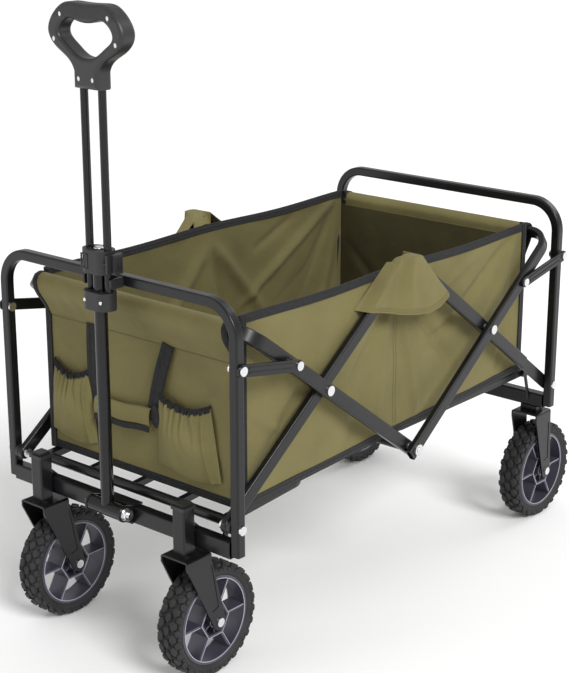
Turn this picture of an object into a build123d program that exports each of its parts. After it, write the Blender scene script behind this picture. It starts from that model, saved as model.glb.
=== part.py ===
"""Folding camp wagon: two end frames joined by a double scissor, a fabric tub, four wheels and a telescoping handle.

Frame: millimetres, +Z up, the wagon's length along Y with the handle end at -Y, +X to the right of someone
facing the handle end. The origin is on the ground, midway between the two end frames, on the centre plane.
"""
from build123d import *
from math import acos, cos, degrees, hypot, pi, radians, sin, sqrt
import os

os.makedirs("parts", exist_ok=True)

# ---------------------------------------------------------------- driving dimensions
frame_width = 500.0         # over the legs' outer faces
half_length = 419.0         # centre plane to the leg axis of either end frame
wheel_diameter = 178.0
leg_bottom = wheel_diameter + 46.0   # lower ends of the legs, above the wheels
frame_top = leg_bottom + 382.0      # top face of the end frames
frame_tube = 16.0           # square tube of the end frames
frame_wall = 1.4
frame_bend = 50.0           # centre-line radius of the end frames' upper corners
tube_corner = 3.0

pivot_height = leg_bottom + 42.0    # lower leg pivots and the bottom centre hinge
arm_half = 260.0            # from a crossing rivet to either end pivot of its two arms
folded_angle = 78.0         # steepest angle of the arms, folded
arm_width = 22.0            # height of the arm's oval tube, in the scissor's plane
arm_thick = 11.0
arm_wall = 1.3
layer_gap = 2.0             # washer between two arms that cross
arm_inset = 34.0            # from the leg's outer face to the inner layer's inner face
arm_bend = 34.0             # centre-line radius of the upper arms' corners
link_reach = 109.0          # from a crossing rivet to the link's rivet, along the upper arm
link_thick = 3.5
link_width = 18.0

pin_radius = 4.0
running = 0.05              # radial clearance of a pin that turns in its hole
air = 0.3                   # least gap between pieces that move past each other
rivet_head = 8.0
head_height = 2.6

cross_bar_height = 26.0
cross_bar_depth = 20.0
cross_bar_top = leg_bottom + 21.0

tyre_width = 42.0
rim_radius = 70.0
hub_width = 34.0
hub_boss_radius = 11.0
hub_hex_radius = 30.0
rim_wall = 4.0
spoke_wall = 3.6
spoke_count = 6
caster_x = frame_width / 2 - 95.0
caster_trail = 46.0
post_size = 24.0
post_bottom = leg_bottom - 12.0
post_top = leg_bottom + 58.0
fork_plate = 3.0
fork_gap = 3.0              # each side between tyre and fork
fork_top = wheel_diameter + 31.0
kingpin_radius = 6.0
rear_wheel_x = frame_width / 2 - 43.0
rear_axle_setback = 18.0    # rear axle behind the rear legs' axis

handle_y = -half_length - 27.0
handle_pivot_z = leg_bottom + 16.0
stem_radius = 10.0
stem_wall = 1.5
sleeve_radius = 12.0
sleeve_length = 66.0
pivot_bolt_radius = 5.0
rod_radius = 6.0
rod_spacing = 37.0
collar_bottom = frame_top + 5.0
collar_height = 35.0
collar_width = 54.0
block_bottom = frame_top - 50.0
block_height = 27.0
block_width = 54.0
grip_width = 152.0
grip_top = frame_top + 388.0
grip_bottom = frame_top + 270.0
grip_depth = 30.0
grip_bar = 27.0
grip_neck = 50.0

fabric_thick = 2.0
tub_half_width = frame_width / 2 - 43.5  # outer face of the side panels
floor_front = leg_bottom + 42.0     # underside of the tub floor at the front
floor_rear = leg_bottom + 68.0
base_tube = 14.0
base_rail_x = tub_half_width - 12.5
base_hinge_radius = 8.2
cross_tube_setback = 34.0   # upper cross tubes inside the leg axis
base_setback = 24.0         # base hinges inside the leg axis
front_base_length = 176.0
rear_base_length = 383.0
pocket_depth = 12.0
strap_places = (-83.0, 34.0)
strap_width = 13.0
strap_thick = 1.5

# ---------------------------------------------------------------- worked-out places
leg_x = frame_width / 2 - frame_tube / 2
rest_angle = degrees(acos(half_length / (2 * arm_half)))
fold_travel = folded_angle - rest_angle
rest_cos, rest_sin = cos(radians(rest_angle)), sin(radians(rest_angle))
fold_cos, fold_sin = cos(radians(folded_angle)), sin(radians(folded_angle))
crossing_y = half_length - arm_half * rest_cos
crossing_z = pivot_height + arm_half * rest_sin
top_hinge_z = pivot_height + 2 * arm_half * rest_sin

inner_low = frame_width / 2 - arm_inset
outer_low = inner_low + arm_thick + layer_gap
outermost_low = outer_low + arm_thick + layer_gap
outermost_high = outermost_low + arm_thick

tub_wall_y = half_length - cross_tube_setback - hypot(arm_width, arm_thick) / 2 - 0.5
cross_tube_reach = (half_length - cross_tube_setback) / rest_cos
cross_tube_z = pivot_height + cross_tube_reach * rest_sin
tub_top = cross_tube_z + 18.0
tub_rise = cross_tube_z - floor_front
strap_top = cross_tube_z - 59.0
strap_bottom = floor_front + 0.34 * tub_rise

link_near = arm_half - link_reach
link_far = arm_half + link_reach
link_rise = (
    link_near**2 * (fold_cos**2 - rest_cos**2) + link_far**2 * (fold_sin**2 - rest_sin**2)
) / (2 * link_far * (fold_sin - rest_sin))
link_z = pivot_height + link_rise
link_end_y = link_far * rest_cos
link_end_z = pivot_height + link_far * rest_sin

wheel_radius = wheel_diameter / 2
fork_inner = tyre_width / 2 + fork_gap
fork_outer = fork_inner + fork_plate
caster_y = -half_length - cross_bar_depth / 2 - post_size / 2
front_axle_y = caster_y + caster_trail
rear_axle_y = half_length + rear_axle_setback
base_hinge_y = half_length - base_setback
front_base_z = floor_front - base_tube / 2 - 0.5
rear_base_z = floor_rear - base_tube / 2 - 0.5
rod_x = rod_spacing / 2

print("rest angle", round(rest_angle, 3), "fold travel", round(fold_travel, 3))
print("crossing", round(crossing_y, 3), round(crossing_z, 3), "top hinge z", round(top_hinge_z, 3))
print("link pivot z", round(link_z, 3), "link end", round(link_end_y, 3), round(link_end_z, 3))
print("cross tube z", round(cross_tube_z, 3), "caster y", caster_y, "rear axle y", rear_axle_y)


def save(part, name):
    """Label a finished piece and write its STEP file."""
    part.label = name
    export_step(part, f"parts/{name}.step")


def x_plane(x, y, z, toward=(0, 1, 0)):
    """A plane facing +X whose own X axis points toward the given direction."""
    return Plane(origin=(x, y, z), x_dir=toward, z_dir=(1, 0, 0))


def hollow_section(plane, across, along, wall, corner):
    """A rounded rectangular tube section on a plane."""
    with BuildSketch(plane) as section:
        RectangleRounded(across, along, corner)
        RectangleRounded(across - 2 * wall, along - 2 * wall, corner - wall * 0.8, mode=Mode.SUBTRACT)
    return section.sketch


# ---------------------------------------------------------------- end frames
def end_frame(y):
    """Inverted U of square tube with the holes for its arm and link pivots."""
    with BuildPart() as frame:
        plane = Plane(origin=(0, y, 0), x_dir=(1, 0, 0), z_dir=(0, -1, 0))
        top = frame_top - frame_tube / 2
        with BuildLine(plane) as path:
            FilletPolyline(
                (-leg_x, leg_bottom), (-leg_x, top), (leg_x, top), (leg_x, leg_bottom), radius=frame_bend
            )
        foot = Plane(origin=(-leg_x, y, leg_bottom))
        sweep(hollow_section(foot, frame_tube, frame_tube, frame_wall, tube_corner), path=path.line)
        for z in (pivot_height, link_z):
            with Locations(Location((0, y, z), (0, 90, 0))):
                Cylinder(pin_radius, frame_width + 10, mode=Mode.SUBTRACT)
    return frame.part


def cross_bar(y):
    """Lower cross bar, a box tube welded between the legs."""
    with BuildPart() as bar:
        middle = cross_bar_top - cross_bar_height / 2
        plane = Plane(origin=(-leg_x + frame_tube / 2, y, middle), x_dir=(0, 1, 0), z_dir=(1, 0, 0))
        section = hollow_section(plane, cross_bar_depth, cross_bar_height, frame_wall, tube_corner)
        extrude(section, amount=2 * leg_x - frame_tube)
    return bar.part


save(end_frame(-half_length), "front_frame_tube")
save(end_frame(half_length), "rear_frame_tube")
save(cross_bar(-half_length), "front_cross_bar")
save(cross_bar(half_length), "rear_cross_bar")

# ---------------------------------------------------------------- caster posts
for side, name in ((-1, "left"), (1, "right")):
    with BuildPart() as post:
        with BuildSketch(Plane.XY.offset(post_bottom)):
            with Locations((side * caster_x, caster_y)):
                RectangleRounded(post_size, post_size, tube_corner)
        extrude(amount=post_top - post_bottom)
        with BuildSketch(x_plane(side * caster_x - 2.5, 0, 0)):
            with BuildLine():
                Polyline((caster_y, cross_bar_top), (-half_length + 8, cross_bar_top), (caster_y, post_top - 8),
                         close=True)
            make_face()
        extrude(amount=5)
        with Locations((side * caster_x, caster_y, (post_bottom + post_top) / 2)):
            Cylinder(kingpin_radius + running, post_top - post_bottom, mode=Mode.SUBTRACT)
        with Locations((side * caster_x, caster_y, post_top)):
            Cylinder(post_size / 2 - 2.5, 2 * (post_top - post_bottom - 16), mode=Mode.SUBTRACT)
    save(post.part, f"caster_post_{name}")

with BuildPart() as caps:
    for side in (-1, 1):
        with Locations((side * caster_x, caster_y, post_top)):
            Box(post_size + 4, post_size + 4, 5, align=(Align.CENTER, Align.CENTER, Align.MIN))
            Cylinder(post_size / 2 - 2.6, 6, align=(Align.CENTER, Align.CENTER, Align.MAX))
        with Locations((side * caster_x, caster_y, post_top + 5)):
            Box(post_size - 5, post_size - 5, 4, align=(Align.CENTER, Align.CENTER, Align.MIN))
    chamfer(caps.edges().filter_by(Axis.Z).filter_by(lambda e: e.length > 4.5), length=2)
save(caps.part, "post_caps")


# ---------------------------------------------------------------- scissor arms
def straight_arm(x_low, sign, foot_sign, thin_foot):
    """Diagonal arm of one side from a lower leg pivot to the top centre hinge.

    foot_sign is -1 for the front end and 1 for the rear. thin_foot flattens the lower end beside the leg.
    """
    length = 2 * arm_half
    foot = (0, foot_sign * half_length, pivot_height)
    toward = (0, -foot_sign * rest_cos, rest_sin)
    low = x_low if sign > 0 else -x_low - arm_thick
    plane = Plane(origin=(low, foot[1], foot[2]), x_dir=toward, z_dir=(1, 0, 0))
    with BuildPart() as arm:
        with BuildSketch(plane):
            with Locations((length / 2, 0)):
                SlotCenterToCenter(length, arm_width)
        extrude(amount=arm_thick)
        fillet(arm.edges().filter_by(Axis((0, 0, 0), toward)), radius=3.0)
        cavity_start = thin_length + 12 if thin_foot else 16.0
        with BuildSketch(plane.offset(arm_wall)):
            with Locations(((cavity_start + length - 16) / 2, 0)):
                Rectangle(length - 16 - cavity_start, arm_width - 2 * arm_wall)
        extrude(amount=arm_thick - 2 * arm_wall, mode=Mode.SUBTRACT)
        if thin_foot:
            cut_low = thin_plate if sign > 0 else -1.0
            with BuildSketch(plane.offset(cut_low)):
                with Locations(((thin_length - 40) / 2, 0)):
                    Rectangle(thin_length + 40, arm_width + 4)
            extrude(amount=arm_thick - thin_plate + 1.0, mode=Mode.SUBTRACT)
        holes = (
            (0, pin_radius + running),
            (arm_half, pin_radius),
            (length, pin_radius + (air if thin_foot else 0.0)),
        )
        for reach, radius in holes:
            with BuildSketch(plane.offset(-1)):
                with Locations((reach, 0)):
                    Circle(radius)
            extrude(amount=arm_thick + 2, mode=Mode.SUBTRACT)
    return arm.part


thin_plate = leg_x - frame_tube / 2 - outer_low - air - 0.3
thin_length = (arm_width / 2 + frame_tube / 2 + 2) / sin(radians(90 - folded_angle))
for side, name in ((-1, "left"), (1, "right")):
    save(straight_arm(inner_low, side, -1, False), f"front_diagonal_{name}")
    save(straight_arm(outer_low, side, 1, True), f"rear_diagonal_{name}")


def upper_arms(x_low, foot_sign, hinge_radius):
    """U of oval tube: both upper arms of one end and the cross tube that carries the tub's top hem."""
    across = x_low + arm_thick / 2
    toward = (0, foot_sign * rest_cos, rest_sin)
    normal = Vector(1, 0, 0).cross(Vector(*toward))
    plane = Plane(origin=(0, 0, pivot_height), x_dir=(1, 0, 0), z_dir=normal)
    start = arm_width / 2 + 3
    with BuildPart() as arms:
        with BuildLine(plane) as path:
            FilletPolyline((-across, -start), (-across, cross_tube_reach), (across, cross_tube_reach),
                           (across, -start), radius=arm_bend)
        section_plane = Plane(origin=plane.from_local_coords((-across, -start, 0)), x_dir=(1, 0, 0), z_dir=toward)
        sweep(hollow_section(section_plane, arm_thick, arm_width, arm_wall, 3.0), path=path.line, is_frenet=True)
        for reach, radius in ((0, hinge_radius), (arm_half, pin_radius + running)):
            y, z = foot_sign * reach * rest_cos, pivot_height + reach * rest_sin
            with Locations(Location((0, y, z), (0, 90, 0))):
                Cylinder(radius, frame_width + 40, mode=Mode.SUBTRACT)
    return arms.part


hinge_radius = 5.0
save(upper_arms(outer_low, -1, hinge_radius), "front_upper_arms")
save(upper_arms(outermost_low, 1, hinge_radius + running), "rear_upper_arms")


def x_pin(x_from, x_to, y, z, radius):
    """Solid pin along X between two faces, added to the current part."""
    with Locations(Location(((x_from + x_to) / 2, y, z), (0, 90, 0))):
        Cylinder(radius, abs(x_to - x_from))


def crossing_rivets(x_low, x_high, y):
    """Both crossing rivets of one end, riding on the inner arms."""
    with BuildPart() as rivets:
        for side in (-1, 1):
            x_pin(side * (x_low - head_height), side * (x_high + air + head_height), y, crossing_z, pin_radius)
            x_pin(side * (x_low - head_height), side * x_low, y, crossing_z, rivet_head)
            x_pin(side * (x_high + air), side * (x_high + air + head_height), y, crossing_z, rivet_head)
            washer_low = x_low + arm_thick
            x_pin(side * washer_low, side * (washer_low + layer_gap - air), y, crossing_z, rivet_head + 1)
    return rivets.part


save(crossing_rivets(outer_low, outermost_high, crossing_y), "rear_cross_rivets")

with BuildPart() as front_rivets:
    add(crossing_rivets(inner_low, outer_low + arm_thick, -crossing_y))
    for side in (-1, 1):
        far = outer_low + arm_thick
        x_pin(side * (inner_low - head_height), side * (far + air + 3.5), 0, top_hinge_z, pin_radius)
        x_pin(side * (inner_low - head_height), side * inner_low, 0, top_hinge_z, rivet_head)
        x_pin(side * (far + air), side * (far + air + 3.5), 0, top_hinge_z, rivet_head)
save(front_rivets.part, "front_arm_rivets")

with BuildPart() as bottom_bolts:
    for side in (-1, 1):
        head = outermost_high + air
        x_pin(side * outer_low, side * (head + 5), 0, pivot_height, hinge_radius)
        x_pin(side * (outer_low + arm_thick), side * (outermost_low - air), 0, pivot_height, 10.5)
        x_pin(side * head, side * (head + 4), 0, pivot_height, 9.5)
save(bottom_bolts.part, "bottom_hinge_bolts")

with BuildPart() as bottom_tube:
    with BuildSketch(x_plane(-outer_low, 0, pivot_height)):
        Circle(8.0)
        Circle(8.0 - frame_wall, mode=Mode.SUBTRACT)
    extrude(amount=2 * outer_low)
save(bottom_tube.part, "bottom_cross_tube")


# ---------------------------------------------------------------- leg links
def leg_links(end_sign, x_low):
    """Pressed strips, one each side, from a leg pivot to the upper arm, with two stiffening ridges."""
    dy = link_end_y - half_length
    dz = link_end_z - link_z
    span = hypot(dy, dz)
    with BuildPart() as links:
        for side in (-1, 1):
            low = x_low if side > 0 else -x_low - link_thick
            plane = Plane(origin=(low, end_sign * half_length, link_z),
                          x_dir=(0, end_sign * dy / span, dz / span), z_dir=(1, 0, 0))
            with BuildSketch(plane):
                with Locations((span / 2, 0)):
                    SlotCenterToCenter(span, link_width)
            extrude(amount=link_thick)
            outer = plane.offset(link_thick if side > 0 else -0.9)
            for ridge in (-3.6, 3.6):
                with BuildSketch(outer):
                    with Locations((span / 2, ridge)):
                        SlotCenterToCenter(span - 30, 3.0)
                extrude(amount=0.9)
            with BuildSketch(plane.offset(-2)):
                with Locations((0, 0)):
                    Circle(pin_radius + running)
            extrude(amount=link_thick + 4, mode=Mode.SUBTRACT)
    return links.part


def link_rivets(end_sign, arm_high, x_low):
    """Bush and head at the free end of each link, just clear of the upper arm."""
    with BuildPart() as rivets:
        for side in (-1, 1):
            y = end_sign * link_end_y
            x_pin(side * (arm_high + air), side * x_low, y, link_end_z, 7.0)
            x_pin(side * (x_low + link_thick), side * (x_low + link_thick + head_height), y, link_end_z,
                  rivet_head - 1)
    return rivets.part


front_link_low = frame_width / 2 + 0.6
rear_link_low = outermost_high + 1.5
save(leg_links(-1, front_link_low), "front_links")
save(leg_links(1, rear_link_low), "rear_links")
save(link_rivets(-1, outer_low + arm_thick, front_link_low), "front_link_rivets")
save(link_rivets(1, outermost_high, rear_link_low), "rear_link_rivets")

leg_inner = leg_x - frame_tube / 2
leg_outer = leg_x + frame_tube / 2


def leg_fasteners(end_sign, arm_low, arm_high, link_low):
    """Leg pivot bolts with their nuts, and the link rivets on the legs."""
    y = end_sign * half_length
    with BuildPart() as bolts:
        for side in (-1, 1):
            nut_low = arm_low - air - 4.0
            x_pin(side * nut_low, side * (leg_outer + head_height), y, pivot_height, pin_radius)
            x_pin(side * nut_low, side * (arm_low - air), y, pivot_height, rivet_head - 1)
            x_pin(side * leg_outer, side * (leg_outer + head_height), y, pivot_height, rivet_head - 1)
            link_high = link_low + link_thick + air
            x_pin(side * (leg_inner - head_height), side * (link_high + head_height), y, link_z, pin_radius)
            x_pin(side * (leg_inner - head_height), side * leg_inner, y, link_z, rivet_head - 1)
            x_pin(side * link_high, side * (link_high + head_height), y, link_z, rivet_head - 1)
            x_pin(side * leg_outer, side * (link_low - air), y, link_z, rivet_head - 1)
    return bolts.part


ear_gap = sleeve_length / 2 + 0.5
with BuildPart() as front_fasteners:
    add(leg_fasteners(-1, inner_low, inner_low + arm_thick, front_link_low))
    ear_out = ear_gap + 4.0
    x_pin(-ear_out - 4, ear_out + 12, handle_y, handle_pivot_z, pivot_bolt_radius)
    x_pin(-ear_out - 4, -ear_out, handle_y, handle_pivot_z, 9.0)
    x_pin(ear_out, ear_out + 2, handle_y, handle_pivot_z, 10.0)
    x_pin(ear_out + 2, ear_out + 9, handle_y, handle_pivot_z, 8.5)
save(front_fasteners.part, "front_fasteners")
save(leg_fasteners(1, outer_low, outer_low + thin_plate, rear_link_low), "rear_fasteners")

with BuildPart() as bushes:
    for side in (-1, 1):
        middle = (inner_low + arm_thick + air + leg_inner) / 2
        with Locations(Location((side * middle, -half_length, pivot_height), (0, 90, 0))):
            Cylinder(10.0, leg_inner - inner_low - arm_thick - air)
            Cylinder(pin_radius, leg_inner, mode=Mode.SUBTRACT)
save(bushes.part, "front_leg_bushes")


# ---------------------------------------------------------------- forks
def fork_outline(plane, top_y, axle_y, half_top):
    """Side outline of a fork leg, from its top edge to the round end about the axle."""
    end = 13.0
    lean = Vector(axle_y - top_y, wheel_radius - fork_top)
    side = Vector(-lean.Y, lean.X).normalized() * end
    with BuildSketch(plane) as outline:
        with BuildLine():
            Polyline((top_y - half_top, fork_top), (top_y + half_top, fork_top), (top_y + half_top, fork_top - 12),
                     (axle_y + side.X, wheel_radius + side.Y), (axle_y, wheel_radius),
                     (axle_y - side.X, wheel_radius - side.Y), (top_y - half_top, fork_top - 12), close=True)
        make_face()
        with Locations((axle_y, wheel_radius)):
            Circle(end)
    return outline.sketch


def fork(x, top_y, axle_y, half_top):
    """Pressed steel fork: a top plate and two slanting legs with a sunk panel."""
    with BuildPart() as fork_part:
        extrude(fork_outline(x_plane(x - fork_outer, 0, 0), top_y, axle_y, half_top), amount=2 * fork_outer)
        fillet(fork_part.edges().filter_by(Axis.Y).group_by(Axis.Z)[-1], radius=4.0)
        with Locations((x, 0, (fork_top - fork_plate) / 2)):
            Box(2 * fork_inner, 4 * half_length, fork_top - fork_plate, mode=Mode.SUBTRACT)
        for low in (x - fork_outer - 1, x + fork_outer - 0.8):
            with BuildSketch(x_plane(low, 0, 0)):
                with BuildLine():
                    lean = Vector(axle_y - top_y, wheel_radius - fork_top)
                    across = Vector(-lean.Y, lean.X).normalized()
                    near = Vector(top_y, fork_top) + lean * 0.22
                    far = Vector(top_y, fork_top) + lean * 0.80
                    Polyline(near + across * (half_top - 8), far + across * 7,
                             far - across * 7, near - across * (half_top - 8), close=True)
                make_face()
            extrude(amount=1.8, mode=Mode.SUBTRACT)
        with Locations(Location((x, axle_y, wheel_radius), (0, 90, 0))):
            Cylinder(pin_radius, 4 * fork_outer, mode=Mode.SUBTRACT)
    return fork_part


def axle_bolt(x, y):
    """Axle bolt with its head outside one fork leg and its nut outside the other."""
    x_pin(x - fork_outer - 3, x + fork_outer + 3, y, wheel_radius, pin_radius)
    for side in (-1, 1):
        x_pin(x + side * fork_outer, x + side * (fork_outer + 3), y, wheel_radius, 7.0)
        x_pin(x + side * (hub_width / 2 + air), x + side * fork_inner, y, wheel_radius, 8.0)


for side, name in ((-1, "left"), (1, "right")):
    x = side * caster_x
    with BuildPart() as caster:
        add(fork(x, caster_y + 4, front_axle_y, 26).part)
        with Locations((x, caster_y, fork_top)):
            Cylinder(kingpin_radius, 30, align=(Align.CENTER, Align.CENTER, Align.MIN))
            Cylinder(15, post_bottom - fork_top - air, align=(Align.CENTER, Align.CENTER, Align.MIN))
        with Locations((x, caster_y, post_bottom + 16 + air)):
            Cylinder(8.5, 6, align=(Align.CENTER, Align.CENTER, Align.MIN))
    save(caster.part, f"caster_fork_{name}")
    with BuildPart() as axle:
        axle_bolt(x, front_axle_y)
    save(axle.part, f"caster_axle_{name}")
    with BuildPart() as rear_fork:
        add(fork(side * rear_wheel_x, half_length, rear_axle_y, 24).part)
        with BuildSketch(Plane.XY.offset(fork_top)):
            with Locations((side * rear_wheel_x, half_length)):
                Rectangle(34, cross_bar_depth)
        extrude(amount=cross_bar_top - cross_bar_height - fork_top)
    save(rear_fork.part, f"rear_fork_{name}")

with BuildPart() as rear_axles:
    for side in (-1, 1):
        axle_bolt(side * rear_wheel_x, rear_axle_y)
save(rear_axles.part, "rear_axles")


# ---------------------------------------------------------------- wheels
def tyre(x, y):
    """Solid tyre with rounded shoulders, seated on the rim."""
    half = tyre_width / 2
    with BuildPart() as ring:
        with BuildSketch(Plane(origin=(x, y, wheel_radius), x_dir=(1, 0, 0), z_dir=(0, -1, 0))):
            with Locations((0, (wheel_radius + rim_radius) / 2)):
                Rectangle(2 * half, wheel_radius - rim_radius)
        revolve(axis=Axis((x, y, wheel_radius), (1, 0, 0)))
        outer = ring.edges().filter_by(GeomType.CIRCLE).filter_by(lambda e: e.radius > wheel_radius - 1)
        fillet(outer, radius=7.0)
    return ring.part


def hub(x, y):
    """Moulded hub: rim ring, six deep spokes, a hexagonal ring and the bored boss."""
    half = hub_width / 2
    with BuildPart() as wheel:
        plane = x_plane(x - half, y, wheel_radius)
        with BuildSketch(plane):
            Circle(rim_radius)
            Circle(rim_radius - rim_wall, mode=Mode.SUBTRACT)
            RegularPolygon(hub_hex_radius, spoke_count)
            RegularPolygon(hub_hex_radius - rim_wall, spoke_count, mode=Mode.SUBTRACT)
            Circle(hub_boss_radius)
        extrude(amount=hub_width)
        with BuildSketch(plane.offset(2)):
            spoke = rim_radius - hub_hex_radius
            with PolarLocations(hub_hex_radius + spoke / 2 - 1, spoke_count):
                Rectangle(spoke, spoke_wall)
            inner = hub_hex_radius * cos(pi / spoke_count) - hub_boss_radius
            with PolarLocations(hub_boss_radius + inner / 2 - 1, spoke_count, start_angle=180 / spoke_count):
                Rectangle(inner, spoke_wall * 0.7)
        extrude(amount=hub_width - 4)
        with BuildSketch(plane.offset(-1)):
            Circle(pin_radius + running)
        extrude(amount=hub_width + 2, mode=Mode.SUBTRACT)
    return wheel.part


wheels = (
    ("front_left", -caster_x, front_axle_y),
    ("front_right", caster_x, front_axle_y),
    ("rear_left", -rear_wheel_x, rear_axle_y),
    ("rear_right", rear_wheel_x, rear_axle_y),
)
for name, x, y in wheels:
    save(tyre(x, y), f"tyre_{name}")
    save(hub(x, y), f"hub_{name}")

# ---------------------------------------------------------------- handle mount on the front frame
bar_front = -half_length - cross_bar_depth / 2
with BuildPart() as bracket:
    back = 3.0
    half = ear_gap + 4.0
    with Locations((0, bar_front, cross_bar_top - cross_bar_height)):
        Box(2 * half, back, cross_bar_height + back, align=(Align.CENTER, Align.MAX, Align.MIN))
    with Locations((0, bar_front, cross_bar_top)):
        Box(2 * half, cross_bar_depth, back, align=(Align.CENTER, Align.MIN, Align.MIN))
    for side in (-1, 1):
        with BuildSketch(x_plane(side * (ear_gap + 2) - 2, 0, 0)):
            with BuildLine():
                Polyline((bar_front, cross_bar_top - cross_bar_height), (handle_y, handle_pivot_z - 13),
                         (handle_y, handle_pivot_z + 13), (bar_front, cross_bar_top + back), close=True)
            make_face()
            with Locations((handle_y, handle_pivot_z)):
                Circle(13)
        extrude(amount=4)
    with Locations(Location((0, handle_y, handle_pivot_z), (0, 90, 0))):
        Cylinder(pivot_bolt_radius, 4 * ear_gap, mode=Mode.SUBTRACT)
save(bracket.part, "handle_bracket")

rod_outer = rod_x + rod_radius
with BuildPart() as clip:
    arm_low = rod_outer + 1.5
    bar_face = -half_length - frame_tube / 2
    clip_z = frame_top - frame_tube / 2
    with Locations((0, bar_face, clip_z - 1)):
        Box(2 * arm_low + 8, 3.5, frame_tube - 1, align=(Align.CENTER, Align.MAX, Align.CENTER))
    for side in (-1, 1):
        with Locations((side * (arm_low + 2), bar_face, clip_z - 1)):
            Box(4, bar_face - handle_y + 6, frame_tube - 1, align=(Align.CENTER, Align.MAX, Align.CENTER))
    fillet(clip.edges().filter_by(Axis.X).group_by(Axis.Y)[0], radius=2.5)
save(clip.part, "handle_clip")

# ---------------------------------------------------------------- handle
collar_top = collar_bottom + collar_height
with BuildPart() as stem:
    with BuildSketch(Plane.XY.offset(handle_pivot_z)):
        with Locations((0, handle_y)):
            Circle(stem_radius)
    extrude(amount=collar_top + 1 - handle_pivot_z)
    with Locations(Location((0, handle_y, handle_pivot_z), (0, 90, 0))):
        Cylinder(sleeve_radius, sleeve_length)
        Cylinder(pivot_bolt_radius + running, sleeve_length + 2, mode=Mode.SUBTRACT)
    with BuildSketch(Plane.XY.offset(handle_pivot_z + sleeve_radius + 4)):
        with Locations((0, handle_y)):
            Circle(stem_radius - stem_wall)
    extrude(amount=collar_top + 2 - handle_pivot_z, mode=Mode.SUBTRACT)
save(stem.part, "handle_stem")

clamp_depth = 17.0


def clamp_body(bottom, height, width):
    """Rounded plastic body round the stem and the two rods."""
    with BuildSketch(Plane.XY.offset(bottom)) as outline:
        with Locations((0, handle_y)):
            SlotOverall(width, 2 * clamp_depth)
    extrude(outline.sketch, amount=height)


lever_gap = 2.2
guide_radius = 2.0
guide_offset = 11.5
lever_inner = collar_width / 2 + lever_gap
lever_z = collar_bottom + collar_height / 2
with BuildPart() as collar:
    clamp_body(collar_bottom, collar_height, collar_width)
    with Locations((0, handle_y, lever_z)):
        Cylinder(stem_radius, collar_height, mode=Mode.SUBTRACT)
    for side in (-1, 1):
        with Locations((side * rod_x, handle_y, lever_z)):
            Cylinder(rod_radius + 2 * running, collar_height, mode=Mode.SUBTRACT)
    for side in (-1, 1):
        with Locations(Location((collar_width / 2, handle_y + side * guide_offset, lever_z), (0, 90, 0))):
            Cylinder(guide_radius + running, 28, mode=Mode.SUBTRACT)
save(collar.part, "upper_collar")

with BuildPart() as lever:
    with Locations((lever_inner, handle_y, lever_z)):
        Box(4, 2 * guide_offset + 8, collar_height - 8, align=(Align.MIN, Align.CENTER, Align.CENTER))
    with Locations((lever_inner + 4, handle_y, lever_z)):
        Box(8, 16, collar_height - 6, align=(Align.MIN, Align.CENTER, Align.CENTER))
    for side in (-1, 1):
        with Locations(Location((lever_inner - 6, handle_y + side * guide_offset, lever_z), (0, 90, 0))):
            Cylinder(guide_radius, 12)
save(lever.part, "lock_lever")

with BuildPart() as block:
    clamp_body(block_bottom, block_height, block_width)
    with Locations((0, handle_y, block_bottom + block_height / 2)):
        Cylinder(stem_radius + 2 * running, block_height, mode=Mode.SUBTRACT)
    for side in (-1, 1):
        with Locations((side * rod_x, handle_y, block_bottom + 4)):
            Cylinder(rod_radius, block_height, align=(Align.CENTER, Align.CENTER, Align.MIN), mode=Mode.SUBTRACT)
save(block.part, "lower_block")

rod_top = grip_bottom + 30
with BuildPart() as rods:
    for side in (-1, 1):
        with BuildSketch(Plane.XY.offset(block_bottom + 4)):
            with Locations((side * rod_x, handle_y)):
                Circle(rod_radius)
                Circle(rod_radius - 1.2, mode=Mode.SUBTRACT)
        extrude(amount=rod_top - block_bottom - 4)
save(rods.part, "handle_rods")


def grip_outline(plane):
    """Outline of the D grip with its finger opening cut out."""
    half = grip_width / 2
    neck = grip_neck / 2
    shoulder = grip_bottom + 24
    widest = grip_top - 42
    inside = half - grip_bar * 0.82
    with BuildSketch(plane) as outline:
        with BuildLine():
            left = Spline((-neck, shoulder), (-half * 0.86, widest - 18), (-half, widest),
                          (-half * 0.66, grip_top - 4), (0, grip_top),
                          tangents=((-0.35, 1), (1, 0)))
            mirror(left, about=Plane.YZ)
            Polyline((-neck, shoulder), (-neck, grip_bottom), (neck, grip_bottom), (neck, shoulder))
        make_face()
        with BuildLine():
            low = Spline((0, grip_bottom + 43), (-inside * 0.72, widest - 16), (-inside, widest),
                         (-inside * 0.72, grip_top - grip_bar + 3), (0, grip_top - grip_bar),
                         tangents=((-1, 0), (1, 0)))
            mirror(low, about=Plane.YZ)
        make_face(mode=Mode.SUBTRACT)
    return outline.sketch


screw_places = (
    (-48, grip_top - 17), (48, grip_top - 17),
    (-62, grip_top - 52), (62, grip_top - 52),
    (-14, grip_bottom + 14), (14, grip_bottom + 14),
)
shell = grip_depth / 2
for name, facing in (("grip_front_shell", -1), ("grip_rear_shell", 1)):
    with BuildPart() as half_grip:
        plane = Plane(origin=(0, handle_y, 0), x_dir=(1, 0, 0), z_dir=(0, -1, 0))
        extrude(grip_outline(plane), amount=-facing * shell)
        fillet(half_grip.faces().sort_by(Axis.Y)[0 if facing < 0 else -1].edges(), radius=7.0)
        for side in (-1, 1):
            with Locations((side * rod_x, handle_y, grip_bottom)):
                Cylinder(rod_radius, rod_top - grip_bottom, align=(Align.CENTER, Align.CENTER, Align.MIN),
                         mode=Mode.SUBTRACT)
        if facing < 0:
            for x, z in screw_places:
                with Locations(Location((x, handle_y - shell, z), (90, 0, 0))):
                    Cylinder(3.6, 6, mode=Mode.SUBTRACT)
    save(half_grip.part, name)

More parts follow.
